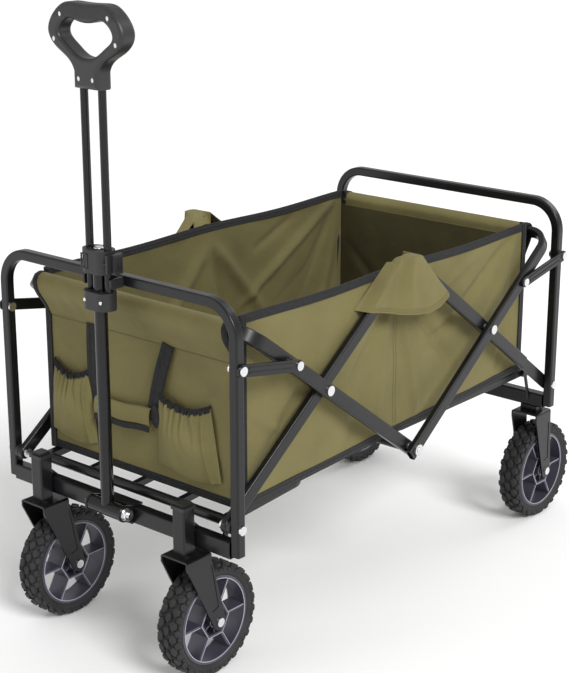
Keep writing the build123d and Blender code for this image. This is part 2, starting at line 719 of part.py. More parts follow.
with BuildPart() as screws:
    for x, z in screw_places:
        with Locations(Location((x, handle_y - shell + 2, z), (90, 0, 0))):
            Cylinder(3.6, 2)
save(screws.part, "grip_screws")

# ---------------------------------------------------------------- base grids
def base_grid(end_sign, length, hinge_z, rise):
    """U of square tube with its hinge tube and three inner bars, hinged inside the end frame."""
    run = sqrt(length**2 - rise**2)
    toward = (0, -end_sign * run / length, rise / length)
    normal = Vector(1, 0, 0).cross(Vector(*toward))
    plane = Plane(origin=(0, end_sign * base_hinge_y, hinge_z), x_dir=(1, 0, 0), z_dir=normal)
    half = base_tube / 2
    with BuildPart() as grid:
        with BuildLine(plane) as path:
            FilletPolyline((-base_rail_x, 0), (-base_rail_x, length), (base_rail_x, length), (base_rail_x, 0),
                           radius=22.0)
        section = Plane(origin=plane.from_local_coords((-base_rail_x, 0, 0)), x_dir=(1, 0, 0), z_dir=toward)
        with BuildSketch(section):
            RectangleRounded(base_tube, base_tube, 2.5)
        sweep(path=path.line)
        with BuildSketch(x_plane(-base_rail_x - half - 0.5, end_sign * base_hinge_y, hinge_z)):
            Circle(base_hinge_radius)
        extrude(amount=2 * base_rail_x + base_tube + 1.0)
        for x in (-base_rail_x / 2, 0, base_rail_x / 2):
            bar_plane = Plane(origin=plane.from_local_coords((x, 0, 0)), x_dir=(1, 0, 0), z_dir=toward)
            with BuildSketch(bar_plane):
                Rectangle(10, 10)
            extrude(amount=length - 2)
        with Locations(Location((0, end_sign * base_hinge_y, hinge_z), (0, 90, 0))):
            Cylinder(pin_radius + running, 2 * base_rail_x + 3 * base_tube, mode=Mode.SUBTRACT)
    return grid.part


front_rise = (rear_base_z - front_base_z) * front_base_length / (base_hinge_y - 10)
save(base_grid(-1, front_base_length, front_base_z, front_rise), "front_base_grid")
save(base_grid(1, rear_base_length, rear_base_z, 0.0), "rear_base_grid")


def base_hinge_rod(end_sign, hinge_z):
    """Rod that the base grid swings on, with an ear down to the cross bar at each end."""
    y = end_sign * base_hinge_y
    with BuildPart() as rod:
        ear_low = base_rail_x + base_tube / 2 + 1.5
        x_pin(-ear_low - 4, ear_low + 4, y, hinge_z, pin_radius)
        for side in (-1, 1):
            with BuildSketch(x_plane(side * (ear_low + 2) - 2, 0, 0)):
                bar_face = end_sign * (half_length - cross_bar_depth / 2)
                with BuildLine():
                    Polyline((bar_face, cross_bar_top - 16), (y, hinge_z - 8), (y, hinge_z + 8),
                             (bar_face, cross_bar_top), close=True)
                make_face()
                with Locations((y, hinge_z)):
                    Circle(8)
            extrude(amount=4)
    return rod.part


save(base_hinge_rod(-1, front_base_z), "front_base_hinge")
save(base_hinge_rod(1, rear_base_z), "rear_base_hinge")

# ---------------------------------------------------------------- fabric tub
inside_wall = tub_wall_y - fabric_thick


def end_panel(end_sign, bottom):
    """End wall of the tub, hanging inside the cross tube of the upper arms."""
    with BuildPart() as panel:
        with Locations((0, end_sign * (tub_wall_y - fabric_thick / 2), (bottom + tub_top) / 2)):
            Box(2 * (tub_half_width - fabric_thick - 0.3), fabric_thick, tub_top - bottom)
    return panel.part


save(end_panel(-1, floor_front + 6), "front_panel")
save(end_panel(1, floor_rear + 3), "rear_panel")

for side, name in ((-1, "left"), (1, "right")):
    low = tub_half_width - fabric_thick if side > 0 else -tub_half_width
    with BuildPart() as wall:
        with BuildSketch(x_plane(low, 0, 0)):
            with BuildLine():
                Polyline((-inside_wall, floor_front + 2), (-10, floor_rear), (inside_wall, floor_rear),
                         (inside_wall, tub_top), (-inside_wall, tub_top), close=True)
            make_face()
        extrude(amount=fabric_thick)
    save(wall.part, f"side_panel_{name}")

with BuildPart() as floor:
    with BuildSketch(x_plane(-tub_half_width + fabric_thick + 0.3, 0, 0)):
        with BuildLine():
            end = inside_wall - 0.3
            Polyline((-end, floor_front + 2), (-10, floor_rear), (end, floor_rear), (end, floor_rear + 2.5),
                     (-10, floor_rear + 2.5), (-end, floor_front + 4.5), close=True)
        make_face()
    extrude(amount=2 * (tub_half_width - fabric_thick - 0.3))
save(floor.part, "tub_floor")

pocket_boxes = (                   # left, right, bottom, top
    (8.5 - tub_half_width, -90, floor_front + 36, floor_front + 0.5725 * tub_rise),
    (42, tub_half_width - 40.5, floor_front + 40, floor_front + 0.537 * tub_rise),
)
with BuildPart() as pockets:
    for left, right, bottom, top in pocket_boxes:
        with Locations(((left + right) / 2, -tub_wall_y, bottom)):
            Box(right - left, pocket_depth, top - bottom, align=(Align.CENTER, Align.MAX, Align.MIN))
        with Locations(((left + right) / 2, -tub_wall_y, bottom + fabric_thick)):
            Box(right - left - 4, pocket_depth - fabric_thick, top - bottom, align=(Align.CENTER, Align.MAX, Align.MIN),
                mode=Mode.SUBTRACT)
save(pockets.part, "front_pockets")

with BuildPart() as straps:
    for x in strap_places:
        with Locations((x, -tub_wall_y, strap_bottom)):
            Box(strap_width, strap_thick, strap_top - strap_bottom, align=(Align.CENTER, Align.MAX, Align.MIN))
    with Locations((sum(strap_places) / 2, -tub_wall_y, strap_bottom - 19)):
        Box(104, 8, 40, align=(Align.CENTER, Align.MAX, Align.MIN))
save(straps.part, "front_straps")
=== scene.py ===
"""Folding camp wagon: finishes, wheels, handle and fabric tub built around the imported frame."""
import math

import bmesh
import bpy
from mathutils import Matrix, Vector, noise


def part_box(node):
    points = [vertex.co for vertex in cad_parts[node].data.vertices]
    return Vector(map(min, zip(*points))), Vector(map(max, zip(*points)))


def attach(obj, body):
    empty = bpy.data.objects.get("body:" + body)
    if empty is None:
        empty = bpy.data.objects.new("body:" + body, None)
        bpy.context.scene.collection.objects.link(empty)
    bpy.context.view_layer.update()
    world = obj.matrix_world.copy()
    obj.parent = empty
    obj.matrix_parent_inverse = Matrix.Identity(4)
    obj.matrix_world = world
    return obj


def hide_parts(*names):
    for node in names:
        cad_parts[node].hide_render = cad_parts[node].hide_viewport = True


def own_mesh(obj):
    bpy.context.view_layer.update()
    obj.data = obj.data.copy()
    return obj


bl_info = {
    "name": "Folding Camp Wagon",
    "version": (1, 0, 0),
    "blender": (4, 5, 0),
    "location": "View3D > Sidebar > Wagon",
    "description": "Builds a folding camp wagon around its packed frame",
    "category": "Add Mesh",
}

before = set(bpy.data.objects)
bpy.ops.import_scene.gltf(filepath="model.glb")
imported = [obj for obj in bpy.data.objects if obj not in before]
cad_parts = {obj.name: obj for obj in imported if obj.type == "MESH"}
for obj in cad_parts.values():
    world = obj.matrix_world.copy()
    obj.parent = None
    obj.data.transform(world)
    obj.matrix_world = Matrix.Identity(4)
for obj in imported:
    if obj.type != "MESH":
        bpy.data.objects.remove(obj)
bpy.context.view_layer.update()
SIDES = ((-1, "left"), (1, "right"))

# Places read from the frame, in metres.
FRONT_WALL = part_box("front_panel")
REAR_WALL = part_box("rear_panel")
SIDE_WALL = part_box("side_panel_right")
FRONT_Y = FRONT_WALL[0].y
REAR_Y = REAR_WALL[1].y
HALF_TUB = SIDE_WALL[1].x
TUB_TOP = SIDE_WALL[1].z
FLOOR_FRONT = SIDE_WALL[0].z
FLOOR_REAR = REAR_WALL[0].z

# Each end wall's direction along the length, name, body and foot.
ENDS = ((-1, "front", "tub_front", FLOOR_FRONT), (1, "rear", "tub_rear", FLOOR_REAR))

GRIP_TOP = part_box("grip_front_shell")[1].z


# ------------------------------------------------------------------ settings
class WagonCloth(bpy.types.PropertyGroup):
    """Colours and sizes of the fabric tub."""

    olive: bpy.props.FloatVectorProperty(
        name="Fabric", description="Colour of the tub fabric", subtype="COLOR",
        default=(0.172, 0.150, 0.058)
    )
    binding: bpy.props.FloatVectorProperty(
        name="Binding", description="Colour of the binding tape", subtype="COLOR",
        default=(0.011, 0.011, 0.012)
    )
    yarn: bpy.props.FloatProperty(
        name="Yarn", description="Pitch of the woven yarns", subtype="DISTANCE", default=0.0011
    )
    cloth: bpy.props.FloatProperty(
        name="Cloth", description="Thickness of the fabric", subtype="DISTANCE", default=0.0012
    )
    tape: bpy.props.FloatProperty(
        name="Tape", description="Height of the folded binding tape", subtype="DISTANCE", default=0.013
    )


class WagonMetal(bpy.types.PropertyGroup):
    """Colours of the metal and plastic parts."""

    coat: bpy.props.FloatVectorProperty(
        name="Powder coat", description="Colour of the frame", subtype="COLOR", default=(0.005, 0.005, 0.0062)
    )
    bright: bpy.props.FloatVectorProperty(
        name="Bright steel", description="Colour of rivets and screws", subtype="COLOR",
        default=(0.8, 0.8, 0.82)
    )
    grip: bpy.props.FloatVectorProperty(
        name="Grip", description="Colour of the grip shells", subtype="COLOR", default=(0.021, 0.021, 0.023)
    )
    hub: bpy.props.FloatVectorProperty(
        name="Hub", description="Colour of the moulded hubs", subtype="COLOR", default=(0.05, 0.047, 0.066)
    )
    # Light colour painted on the hubs' edges as highlights.
    hub_edge: bpy.props.FloatVectorProperty(
        name="Hub edge", description="Colour of the painted highlights on the hubs' edges", subtype="COLOR", default=(0.36, 0.35, 0.42)
    )
    rubber: bpy.props.FloatVectorProperty(
        name="Rubber", description="Colour of the tyres", subtype="COLOR", default=(0.013, 0.013, 0.0135)
    )


class WagonView(bpy.types.PropertyGroup):
    """Camera and lights."""

    place: bpy.props.FloatVectorProperty(
        name="Camera", description="Camera position", subtype="XYZ", default=(1.6698, -1.9822, 1.2215)
    )
    azimuth: bpy.props.FloatProperty(
        name="Azimuth", description="View direction round the wagon", subtype="ANGLE",
        default=math.radians(40.604)
    )
    elevation: bpy.props.FloatProperty(
        name="Elevation", description="View direction above level", subtype="ANGLE",
        default=math.radians(17.470)
    )
    lens: bpy.props.FloatProperty(name="Lens", description="Focal length", default=86.15)


# ------------------------------------------------------------------ node materials
class Nodes:
    """Short way to write a node tree."""

    def __init__(self, name):
        self.material = bpy.data.materials.new(name)
        self.material.use_nodes = True
        self.tree = self.material.node_tree
        self.shader = self.tree.nodes["Principled BSDF"]
        self.coords = self.tree.nodes.new("ShaderNodeTexCoord")

    def node(self, kind, **values):
        """A new node with its properties and inputs set by name."""
        made = self.tree.nodes.new("ShaderNode" + kind)
        for key, value in values.items():
            if hasattr(made, key) and key not in made.inputs:
                setattr(made, key, value)
            else:
                made.inputs[key].default_value = value
        return made

    def link(self, source, target):
        """Join an output to an input."""
        self.tree.links.new(source, target)

    def noise(self, scale, detail=3.0):
        """Noise on the object's own coordinates."""
        made = self.node("TexNoise", Scale=scale, Detail=detail)
        self.link(self.coords.outputs["Object"], made.inputs["Vector"])
        return made.outputs["Fac"]

    def split(self, space):
        """X, Y and Z of a coordinate space."""
        made = self.node("SeparateXYZ")
        self.link(self.coords.outputs[space], made.inputs[0])
        return made.outputs

    def math(self, operation, first, second=None):
        """A math node on two values or outputs."""
        made = self.tree.nodes.new("ShaderNodeMath")
        made.operation = operation
        for place, value in enumerate((first, second)):
            if value is None:
                continue
            if isinstance(value, (int, float)):
                made.inputs[place].default_value = value
            else:
                self.link(value, made.inputs[place])
        return made.outputs[0]

    def remap(self, factor, start, end, low=0.0, high=1.0):
        """A value carried from start..end to low..high."""
        made = self.node("MapRange")
        for key, value in (("From Min", start), ("From Max", end), ("To Min", low), ("To Max", high)):
            made.inputs[key].default_value = value
        self.link(factor, made.inputs["Value"])
        return made.outputs["Result"]

    def span(self, factor, low, high):
        """A value that runs from low to high with a factor."""
        return self.remap(factor, 0.0, 1.0, low, high)

    def waves(self, first, second, pitch):
        """Product of two sine waves of one pitch."""
        turns = 2 * math.pi / pitch
        across = self.math("SINE", self.math("MULTIPLY", first, turns))
        along = self.math("SINE", self.math("MULTIPLY", second, turns))
        return self.math("MULTIPLY", across, along)

    def tone(self, factor, low, high, start=0.0, end=1.0):
        """A colour that runs from low to high with a factor."""
        mix = self.tree.nodes.new("ShaderNodeMix")
        mix.data_type = "RGBA"
        self.link(self.remap(factor, start, end), mix.inputs["Factor"])
        mix.inputs["A"].default_value = (*low, 1)
        mix.inputs["B"].default_value = (*high, 1)
        return mix.outputs["Result"]

    def bump(self, height, strength, distance, under=None):
        """A bump node, stacked on another where one is given."""
        made = self.node("Bump", Strength=strength, Distance=distance)
        self.link(height, made.inputs["Height"])
        if under is not None:
            self.link(under, made.inputs["Normal"])
        return made.outputs["Normal"]

    def finish(self, colour=None, normal=None, roughness=None, **values):
        """Set the shader's sockets and return the material."""
        if colour is not None:
            self.link(colour, self.shader.inputs["Base Color"])
        if normal is not None:
            self.link(normal, self.shader.inputs["Normal"])
        if roughness is not None:
            self.link(roughness, self.shader.inputs["Roughness"])
        for key, value in values.items():
            self.shader.inputs[key.replace("_", " ")].default_value = value
        return self.material


def scaled(colour, factor):
    """A colour made lighter or darker."""
    return tuple(min(1.0, part * factor) for part in colour)


def coat_material(name, colour, rough_low, rough_high, grain):
    """Powder-coated or painted steel with a fine orange peel."""
    nodes = Nodes(name)
    return nodes.finish(
        colour=nodes.tone(nodes.noise(14.0), scaled(colour, 0.88), scaled(colour, 1.12), 0.3, 0.7),
        normal=nodes.bump(nodes.noise(grain, 2.0), 0.12, 0.0003),
        roughness=nodes.span(nodes.noise(45.0), rough_low, rough_high),
        Coat_Weight=0.24, Coat_Roughness=0.16, Specular_IOR_Level=0.28,
    )


def bright_material(name, colour):
    """Zinc-bright steel with faint turning marks."""
    nodes = Nodes(name)
    return nodes.finish(
        colour=nodes.tone(nodes.noise(60.0), scaled(colour, 0.9), colour, 0.35, 0.65),
        normal=nodes.bump(nodes.noise(900.0, 1.0), 0.08, 0.0002),
        roughness=nodes.span(nodes.noise(200.0), 0.16, 0.3),
        Metallic=1.0,
    )


def plastic_material(name, colour, roughness, grain_scale, grain_depth):
    """Moulded plastic with a spark-eroded grain."""
    nodes = Nodes(name)
    return nodes.finish(
        colour=nodes.tone(nodes.noise(22.0), scaled(colour, 0.9), scaled(colour, 1.12), 0.3, 0.7),
        normal=nodes.bump(nodes.noise(grain_scale, 3.0), 0.25, grain_depth),
        roughness=nodes.span(nodes.noise(70.0), roughness - 0.05, roughness + 0.06),
    )


DOT_PITCH = 0.0042
PAD_DEPTH = 0.0215


def grip_material(name, colour):
    """Grip shell: fine grain, with rows of small dots along the top of the handle."""
    nodes = Nodes(name)
    place_at = nodes.split("Object")
    dots = nodes.math("MAXIMUM", nodes.waves(place_at["X"], place_at["Z"], DOT_PITCH), 0.0)
    top = nodes.remap(place_at["Z"], GRIP_TOP - PAD_DEPTH - 0.001, GRIP_TOP - PAD_DEPTH + 0.001)
    pad = nodes.math("MULTIPLY", dots, top)
    under = nodes.bump(nodes.noise(1200.0, 3.0), 0.25, 0.0002)
    return nodes.finish(
        colour=nodes.tone(top, colour, scaled(colour, 0.7)),
        normal=nodes.bump(pad, 0.8, 0.0010, under),
        roughness=nodes.span(nodes.noise(70.0), 0.34, 0.46),
    )


def rubber_material(name, colour):
    """Tyre rubber with light patches of dust."""
    nodes = Nodes(name)
    return nodes.finish(
        colour=nodes.tone(nodes.noise(35.0, 5.0), scaled(colour, 0.8), scaled(colour, 1.7), 0.3, 0.75),
        normal=nodes.bump(nodes.noise(1400.0, 2.0), 0.2, 0.0003),
        roughness=nodes.span(nodes.noise(90.0), 0.62, 0.8),
    )


def cloth_material(name, colour, yarn):
    """Coated woven polyester with slubs, creases and a soft sheen."""
    nodes = Nodes(name)
    own = nodes.split("UV")
    slub = nodes.noise(420.0, 2.0)
    cloud = nodes.noise(9.0, 5.0)
    mixed = nodes.math("ADD", nodes.math("MULTIPLY", cloud, 0.7), nodes.math("MULTIPLY", slub, 0.3))
    crumple = nodes.bump(nodes.noise(26.0, 5.0), 0.35, 0.006)
    slubs = nodes.bump(slub, 0.2, 0.0003, crumple)
    return nodes.finish(
        colour=nodes.tone(mixed, scaled(colour, 0.84), scaled(colour, 1.16), 0.3, 0.7),
        normal=nodes.bump(nodes.waves(own["X"], own["Y"], yarn), 0.35, 0.0003, slubs),
        roughness=nodes.span(slub, 0.68, 0.86),
        Sheen_Weight=0.04, Sheen_Roughness=0.5, Specular_IOR_Level=0.25,
    )


def webbing_material(name, colour, pitch):
    """Ribbed woven tape."""
    nodes = Nodes(name)
    own = nodes.split("UV")
    ribs = nodes.math("SINE", nodes.math("MULTIPLY", own["X"], 2 * math.pi / pitch))
    picks = nodes.waves(own["X"], own["Y"], pitch * 0.7)
    height = nodes.math("ADD", ribs, nodes.math("MULTIPLY", picks, 0.6))
    return nodes.finish(
        colour=nodes.tone(nodes.noise(260.0, 2.0), scaled(colour, 0.7), scaled(colour, 1.9), 0.3, 0.75),
        normal=nodes.bump(height, 0.6, 0.0006),
        roughness=nodes.span(picks, 0.7, 0.9),
        Sheen_Weight=0.06, Sheen_Roughness=0.5, Specular_IOR_Level=0.25,
    )


def thread_material(name, colour):
    """Twisted sewing thread."""
    nodes = Nodes(name)
    twist = nodes.noise(1500.0, 1.0)
    return nodes.finish(
        colour=nodes.tone(twist, scaled(colour, 0.8), scaled(colour, 1.2), 0.3, 0.7),
        normal=nodes.bump(twist, 0.3, 0.0003),
        Roughness=0.6,
    )


MATERIALS = {}


def make_materials(scene):
    """Every finish of the wagon, kept by its slot name."""
    metal, cloth = scene.wagon_metal, scene.wagon_cloth
    MATERIALS.update(
        frame_paint=coat_material("frame_paint", metal.coat, 0.26, 0.38, 900.0),
        stem_paint=coat_material("stem_paint", scaled(metal.coat, 0.9), 0.14, 0.22, 300.0),
        bright_steel=bright_material("bright_steel", metal.bright),
        black_plastic=plastic_material("black_plastic", scaled(metal.grip, 0.62), 0.45, 1500.0, 0.0002),
        grip_plastic=grip_material("grip_plastic", metal.grip),
        hub_plastic=plastic_material("hub_plastic", metal.hub, 0.38, 1100.0, 0.0002),
        # A light plastic for thin rings and strips: painted highlights on the hubs' moulded edges.
        hub_edge=plastic_material("hub_edge", metal.hub_edge, 0.35, 1100.0, 0.0001),
        tyre_rubber=rubber_material("tyre_rubber", metal.rubber),
        olive_fabric=cloth_material("olive_fabric", cloth.olive, cloth.yarn),
        # A darker copy of the olive: painted shade for the inner faces of the side walls and for the tub
        # floor.
        inner_fabric=cloth_material("inner_fabric", scaled(cloth.olive, 0.76), cloth.yarn),
        # A much darker copy of the olive: painted shade for the inner faces of both end walls.
        end_lining=cloth_material("end_lining", scaled(cloth.olive, 0.34), cloth.yarn),
        black_webbing=webbing_material("black_webbing", cloth.binding, 0.0016),
        olive_thread=thread_material("olive_thread", scaled(cloth.olive, 0.72)),
    )


# ------------------------------------------------------------------ mesh helpers
def add_piece(name, bm, body, slot, materials=None, smooth=True, replaces=(), sharp=35.0):
    """Turn a bmesh into a piece that rides on a body; sharp is the angle past which its edges stay sharp."""
    mesh = bpy.data.meshes.new(name)
    bm.to_mesh(mesh)
    bm.free()
    piece = bpy.data.objects.new(name, mesh)
    bpy.context.scene.collection.objects.link(piece)
    for material in materials or (slot,):
        mesh.materials.append(MATERIALS[material])
    if smooth:
        mesh.shade_smooth()
        mesh.set_sharp_from_angle(angle=math.radians(sharp))
    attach(piece, body)
    if replaces:
        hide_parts(*replaces)
    return piece


def thicken(piece, thickness, lining=0):
    """Give a sheet its thickness; lining is how far down the material list its back face takes its material,
    which on the tub's walls is a darker cloth painted as shade.
    """
    wall = piece.modifiers.new("thickness", "SOLIDIFY")
    wall.thickness = thickness
    wall.offset = 0.0
    wall.use_even_offset = False
    wall.material_offset = lining
    return piece


def face_towards(bm, direction):
    """Turn an open sheet so that its faces look towards a direction."""
    bmesh.ops.recalc_face_normals(bm, faces=bm.faces)
    total = sum((face.normal * face.calc_area() for face in bm.faces), Vector())
    if total.dot(Vector(direction)) < 0:
        bmesh.ops.reverse_faces(bm, faces=bm.faces)


def apply_modifiers(piece):
    """Bake the modifiers into the mesh."""
    depsgraph = bpy.context.evaluated_depsgraph_get()
    mesh = bpy.data.meshes.new_from_object(piece.evaluated_get(depsgraph))
    piece.modifiers.clear()
    old, piece.data = piece.data, mesh
    bpy.data.meshes.remove(old)
    mesh.shade_smooth()
    mesh.set_sharp_from_angle(angle=math.radians(40))


def make_sheet(name, body, shape, steps, flat, thickness, facing=None, materials=None, replaces=()):
    """Make a sheet of cloth bent to shape(u, v); a second material goes on its back face, and the tub's walls
    use it for painted shade on their inner faces.
    """
    bm = sheet_grid(*steps, shape, flat)
    if facing:
        face_towards(bm, facing)
    else:
        bmesh.ops.recalc_face_normals(bm, faces=bm.faces)
    piece = add_piece(name, bm, body, "olive_fabric", materials, replaces=replaces, sharp=180)
    apply_modifiers(thicken(piece, thickness, len(materials or (name,)) - 1))
    return piece


def fold_with_frame(piece):
    """Give a soft piece its own copy of its mesh."""
    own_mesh(piece)


TAPE_UV_STEP = 0.003


def sweep_loop(bm, section, path, frames):
    """Draw a closed section, given as (side, up) pairs, along a path by extruding it from point to point.

    frames holds a (side, up) pair of vectors for each point of the path.
    """
    uv = bm.loops.layers.uv.verify()
    first = [bm.verts.new(place(path[0], frames[0], pair)) for pair in section]
    edges = [bm.edges.new(pair) for pair in zip(first, first[1:] + first[:1])]
    ring, run = first, 0.0
    for index in range(1, len(path)):
        made = bmesh.ops.extrude_edge_only(bm, edges=edges)["geom"]
        faces = [item for item in made if isinstance(item, bmesh.types.BMFace)]
        partner = {}
        for face in faces:
            for edge in face.edges:
                near, far = edge.verts
                if near in ring and far not in ring:
                    partner[near] = far
                elif far in ring and near not in ring:
                    partner[far] = near
        new_ring = [partner[v] for v in ring]
        for vert, pair in zip(new_ring, section):
            vert.co = place(path[index], frames[index], pair)
        step = (path[index] - path[index - 1]).length
        new_set = set(new_ring)
        for face in faces:
            for loop in face.loops:
                far = loop.vert in new_set
                column = (new_ring if far else ring).index(loop.vert)
                loop[uv].uv = (column * TAPE_UV_STEP, run + (step if far else 0.0))
        run += step
        edges = [item for item in made if isinstance(item, bmesh.types.BMEdge)
                 and all(v in new_set for v in item.verts)]
        ring = new_ring
    for end in (first, ring):
        bm.faces.new(end)
    bmesh.ops.recalc_face_normals(bm, faces=bm.faces)


def place(origin, axes, pair):
    """A point beside an origin, along two axes."""
    return origin + axes[0] * pair[0] + axes[1] * pair[1]


def flat_axes(path, up):
    """Side and up axes for a path whose sections keep one up direction."""
    found = []
    for index in range(len(path)):
        ahead = path[min(index + 1, len(path) - 1)] - path[max(index - 1, 0)]
        side = ahead.cross(up).normalized()
        found.append((side, side.cross(ahead).normalized()))
    return found


def dome(bm, centre, axis, radius, height):
    """A domed rivet head whose flat back is at centre."""
    turn = Vector((0, 0, 1)).rotation_difference(Vector(axis)).to_matrix().to_4x4()
    made = bmesh.ops.create_uvsphere(bm, u_segments=20, v_segments=12, radius=1.0)["verts"]
    low = [v for v in made if v.co.z < -1e-4]
    keep = [v for v in made if v not in low]
    bmesh.ops.delete(bm, geom=low, context="VERTS")
    bmesh.ops.scale(bm, vec=(radius, radius, height), verts=keep)
    rim = [e for e in {e for v in keep for e in v.link_edges} if e.is_boundary]
    skirt = bmesh.ops.extrude_edge_only(bm, edges=rim)["geom"]
    down = [item for item in skirt if isinstance(item, bmesh.types.BMVert)]
    bmesh.ops.translate(bm, vec=(0, 0, -height * 0.45), verts=down)
    keep += down
    base = [e for e in {e for v in down for e in v.link_edges} if e.is_boundary]
    bmesh.ops.contextual_create(bm, geom=base)
    bmesh.ops.transform(bm, matrix=Matrix.Translation(Vector(centre)) @ turn, verts=keep)


def box_block(bm, low, high, bevel):
    """A box between two corners with rounded edges."""
    low, high = Vector(low), Vector(high)
    made = bmesh.ops.create_cube(bm, size=1.0)["verts"]
    bmesh.ops.scale(bm, vec=high - low, verts=made)
    bmesh.ops.translate(bm, vec=(low + high) / 2, verts=made)
    edges = list({e for v in made for e in v.link_edges})
    bmesh.ops.bevel(bm, geom=edges, offset=bevel, segments=2, affect="EDGES", profile=0.5, material=-1)


def sheet_grid(width_steps, height_steps, shape, flat):
    """A grid bent to shape(u, v), with its own coordinates in metres; u and v run from 0 to 1."""
    bm = bmesh.new()
    uv = bm.loops.layers.uv.verify()
    bmesh.ops.create_grid(bm, x_segments=width_steps, y_segments=height_steps, size=0.5)
    for face in bm.faces:
        for loop in face.loops:
            loop[uv].uv = ((loop.vert.co.x + 0.5) * flat[0], (loop.vert.co.y + 0.5) * flat[1])
    for vert in bm.verts:
        vert.co = Vector(shape(vert.co.x + 0.5, vert.co.y + 0.5))
    return bm


def smooth_step(value):
    """0 to 1 with soft ends."""
    value = min(1.0, max(0.0, value))
    return value * value * (3 - 2 * value)


# ------------------------------------------------------------------ frame finishes
class WAGON_OT_finishes(bpy.types.Operator):
    """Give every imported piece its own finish"""

    bl_idname = "wagon.finishes"
    bl_label = "Frame finishes"

    def execute(self, context):
        make_materials(context.scene)
        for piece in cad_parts.values():
            for index, slot in enumerate(piece.material_slots):
                piece.data.materials[index] = MATERIALS[slot.material.name.split(".")[0]]
        return {"FINISHED"}


# ------------------------------------------------------------------ wheels
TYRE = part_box("tyre_front_right")
WHEEL_RADIUS = (TYRE[1].z - TYRE[0].z) / 2
TYRE_HALF = (TYRE[1].x - TYRE[0].x) / 2
WHEELS = ("front_left", "front_right", "rear_left", "rear_right")
TREAD_PITCHES = 26
TREAD_ROW = 0.0118
TREAD_DEPTH = 0.0042


def node_centre(node):
    """Middle of a node's box."""
    low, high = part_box(node)
    return (Vector(low) + Vector(high)) / 2


def spin_profile(bm, profile, steps):
    """Turn an open profile of (x, radius) pairs once round the wheel's axis."""
    verts = [bm.verts.new((x, 0, radius)) for x, radius in profile]
    edges = [bm.edges.new((verts[i], verts[i + 1])) for i in range(len(verts) - 1)]
    bmesh.ops.spin(bm, geom=verts + edges, cent=(0, 0, 0), axis=(1, 0, 0), angle=2 * math.pi,
                   steps=steps, use_merge=True, use_duplicate=False)
    bmesh.ops.remove_doubles(bm, verts=bm.verts, dist=1e-6)
    bmesh.ops.recalc_face_normals(bm, faces=bm.faces)


def tread_block(bm, angle, x, radius, length, width, height, tilt=0.0):
    """One six-sided rubber block standing on the tyre."""
    made = bmesh.ops.create_cone(
        bm, cap_ends=True, segments=6, radius1=0.5, radius2=0.40, depth=1.0)["verts"]
    bmesh.ops.scale(bm, vec=(width, length, height), verts=made)
    matrix = (
        Matrix.Rotation(angle, 4, "X")
        @ Matrix.Translation((x, 0, radius))
        @ Matrix.Rotation(tilt, 4, "Y")
    )
    bmesh.ops.transform(bm, matrix=matrix, verts=made)


class WAGON_OT_tyres(bpy.types.Operator):
    """Make the four tyres with their blocks and shoulder lugs"""

    bl_idname = "wagon.tyres"
    bl_label = "Tyres"

    def execute(self, context):
        base = bmesh.new()
        top, half = WHEEL_RADIUS - TREAD_DEPTH, TYRE_HALF
        profile = [
            (-half * 0.62, 0.0695), (-half * 0.80, 0.0705), (-half * 0.90, 0.0735), (-half * 0.97, 0.0775),
            (-half * 0.90, top - 0.0030), (-half * 0.62, top - 0.0006),
        ]
        profile += [(0.0, top)] + [(-x, radius) for x, radius in reversed(profile)]
        spin_profile(base, profile, 96)
        step = 2 * math.pi / TREAD_PITCHES
        pitch = step * WHEEL_RADIUS
        for index in range(TREAD_PITCHES):
            for x, shift in ((-TREAD_ROW, 0.5), (0.0, 0.0), (TREAD_ROW, 0.5)):
                tread_block(base, (index + shift) * step, x, top + 0.0016, pitch * 0.86, 0.0135, 0.0052)
            for side in (-1, 1):
                tread_block(base, index * step, side * half * 0.86, top - 0.0016,
                            pitch * 0.66, 0.0100, 0.0058, side * 0.55)
                tread_block(base, (index + 0.5) * step, side * half * 0.93, top - 0.0046,
                            pitch * 0.46, 0.0070, 0.0036, side * 1.15)
        bmesh.ops.recalc_face_normals(base, faces=base.faces)
        for wheel in WHEELS:
            bm = base.copy()
            bmesh.ops.translate(bm, vec=node_centre("tyre_" + wheel), verts=bm.verts)
            tyre = add_piece("tyre_tread_" + wheel, bm, "wheel_" + wheel, "tyre_rubber",
                             replaces=("tyre_" + wheel,), sharp=28)
            edge = tyre.modifiers.new("edges", "BEVEL")
            edge.width, edge.segments, edge.limit_method = 0.0005, 1, "ANGLE"
            edge.angle_limit = math.radians(40)
        base.free()
        return {"FINISHED"}


def flat_ring(bm, outer, inner, segments, x, thickness):
    """A flat ring round the wheel's axis."""
    turn = Matrix.Translation((x, 0, 0)) @ Matrix.Rotation(math.pi / 2, 4, "Y")
    edges = []
    for radius in (outer, inner):
        verts = bmesh.ops.create_circle(bm, segments=segments, radius=radius, matrix=turn)["verts"]
        edges += list({e for v in verts for e in v.link_edges})
    faces = bmesh.ops.bridge_loops(bm, edges=edges)["faces"]
    made = bmesh.ops.extrude_face_region(bm, geom=faces)["geom"]
    raised = [item for item in made if isinstance(item, bmesh.types.BMVert)]
    bmesh.ops.translate(bm, vec=(thickness, 0, 0), verts=raised)


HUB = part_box("hub_front_right")
HUB_HALF = (HUB[1].x - HUB[0].x) / 2
HUB_RADIUS = (HUB[1].z - HUB[0].z) / 2
HEX_RADIUS = HUB_RADIUS * 3 / 7
HUB_HIGHLIGHT_RINGS = (
    # outer radius, inner radius, segments, height of the light rings painted as highlights on the edges of
    # the rim, the six-sided middle and the cap
    (HUB_RADIUS - 0.0040, HUB_RADIUS - 0.0052, 96, 0.0008),
    (HEX_RADIUS + 0.0002, HEX_RADIUS - 0.0010, 6, 0.0010),
    (0.0114, 0.0104, 48, 0.0010),
)


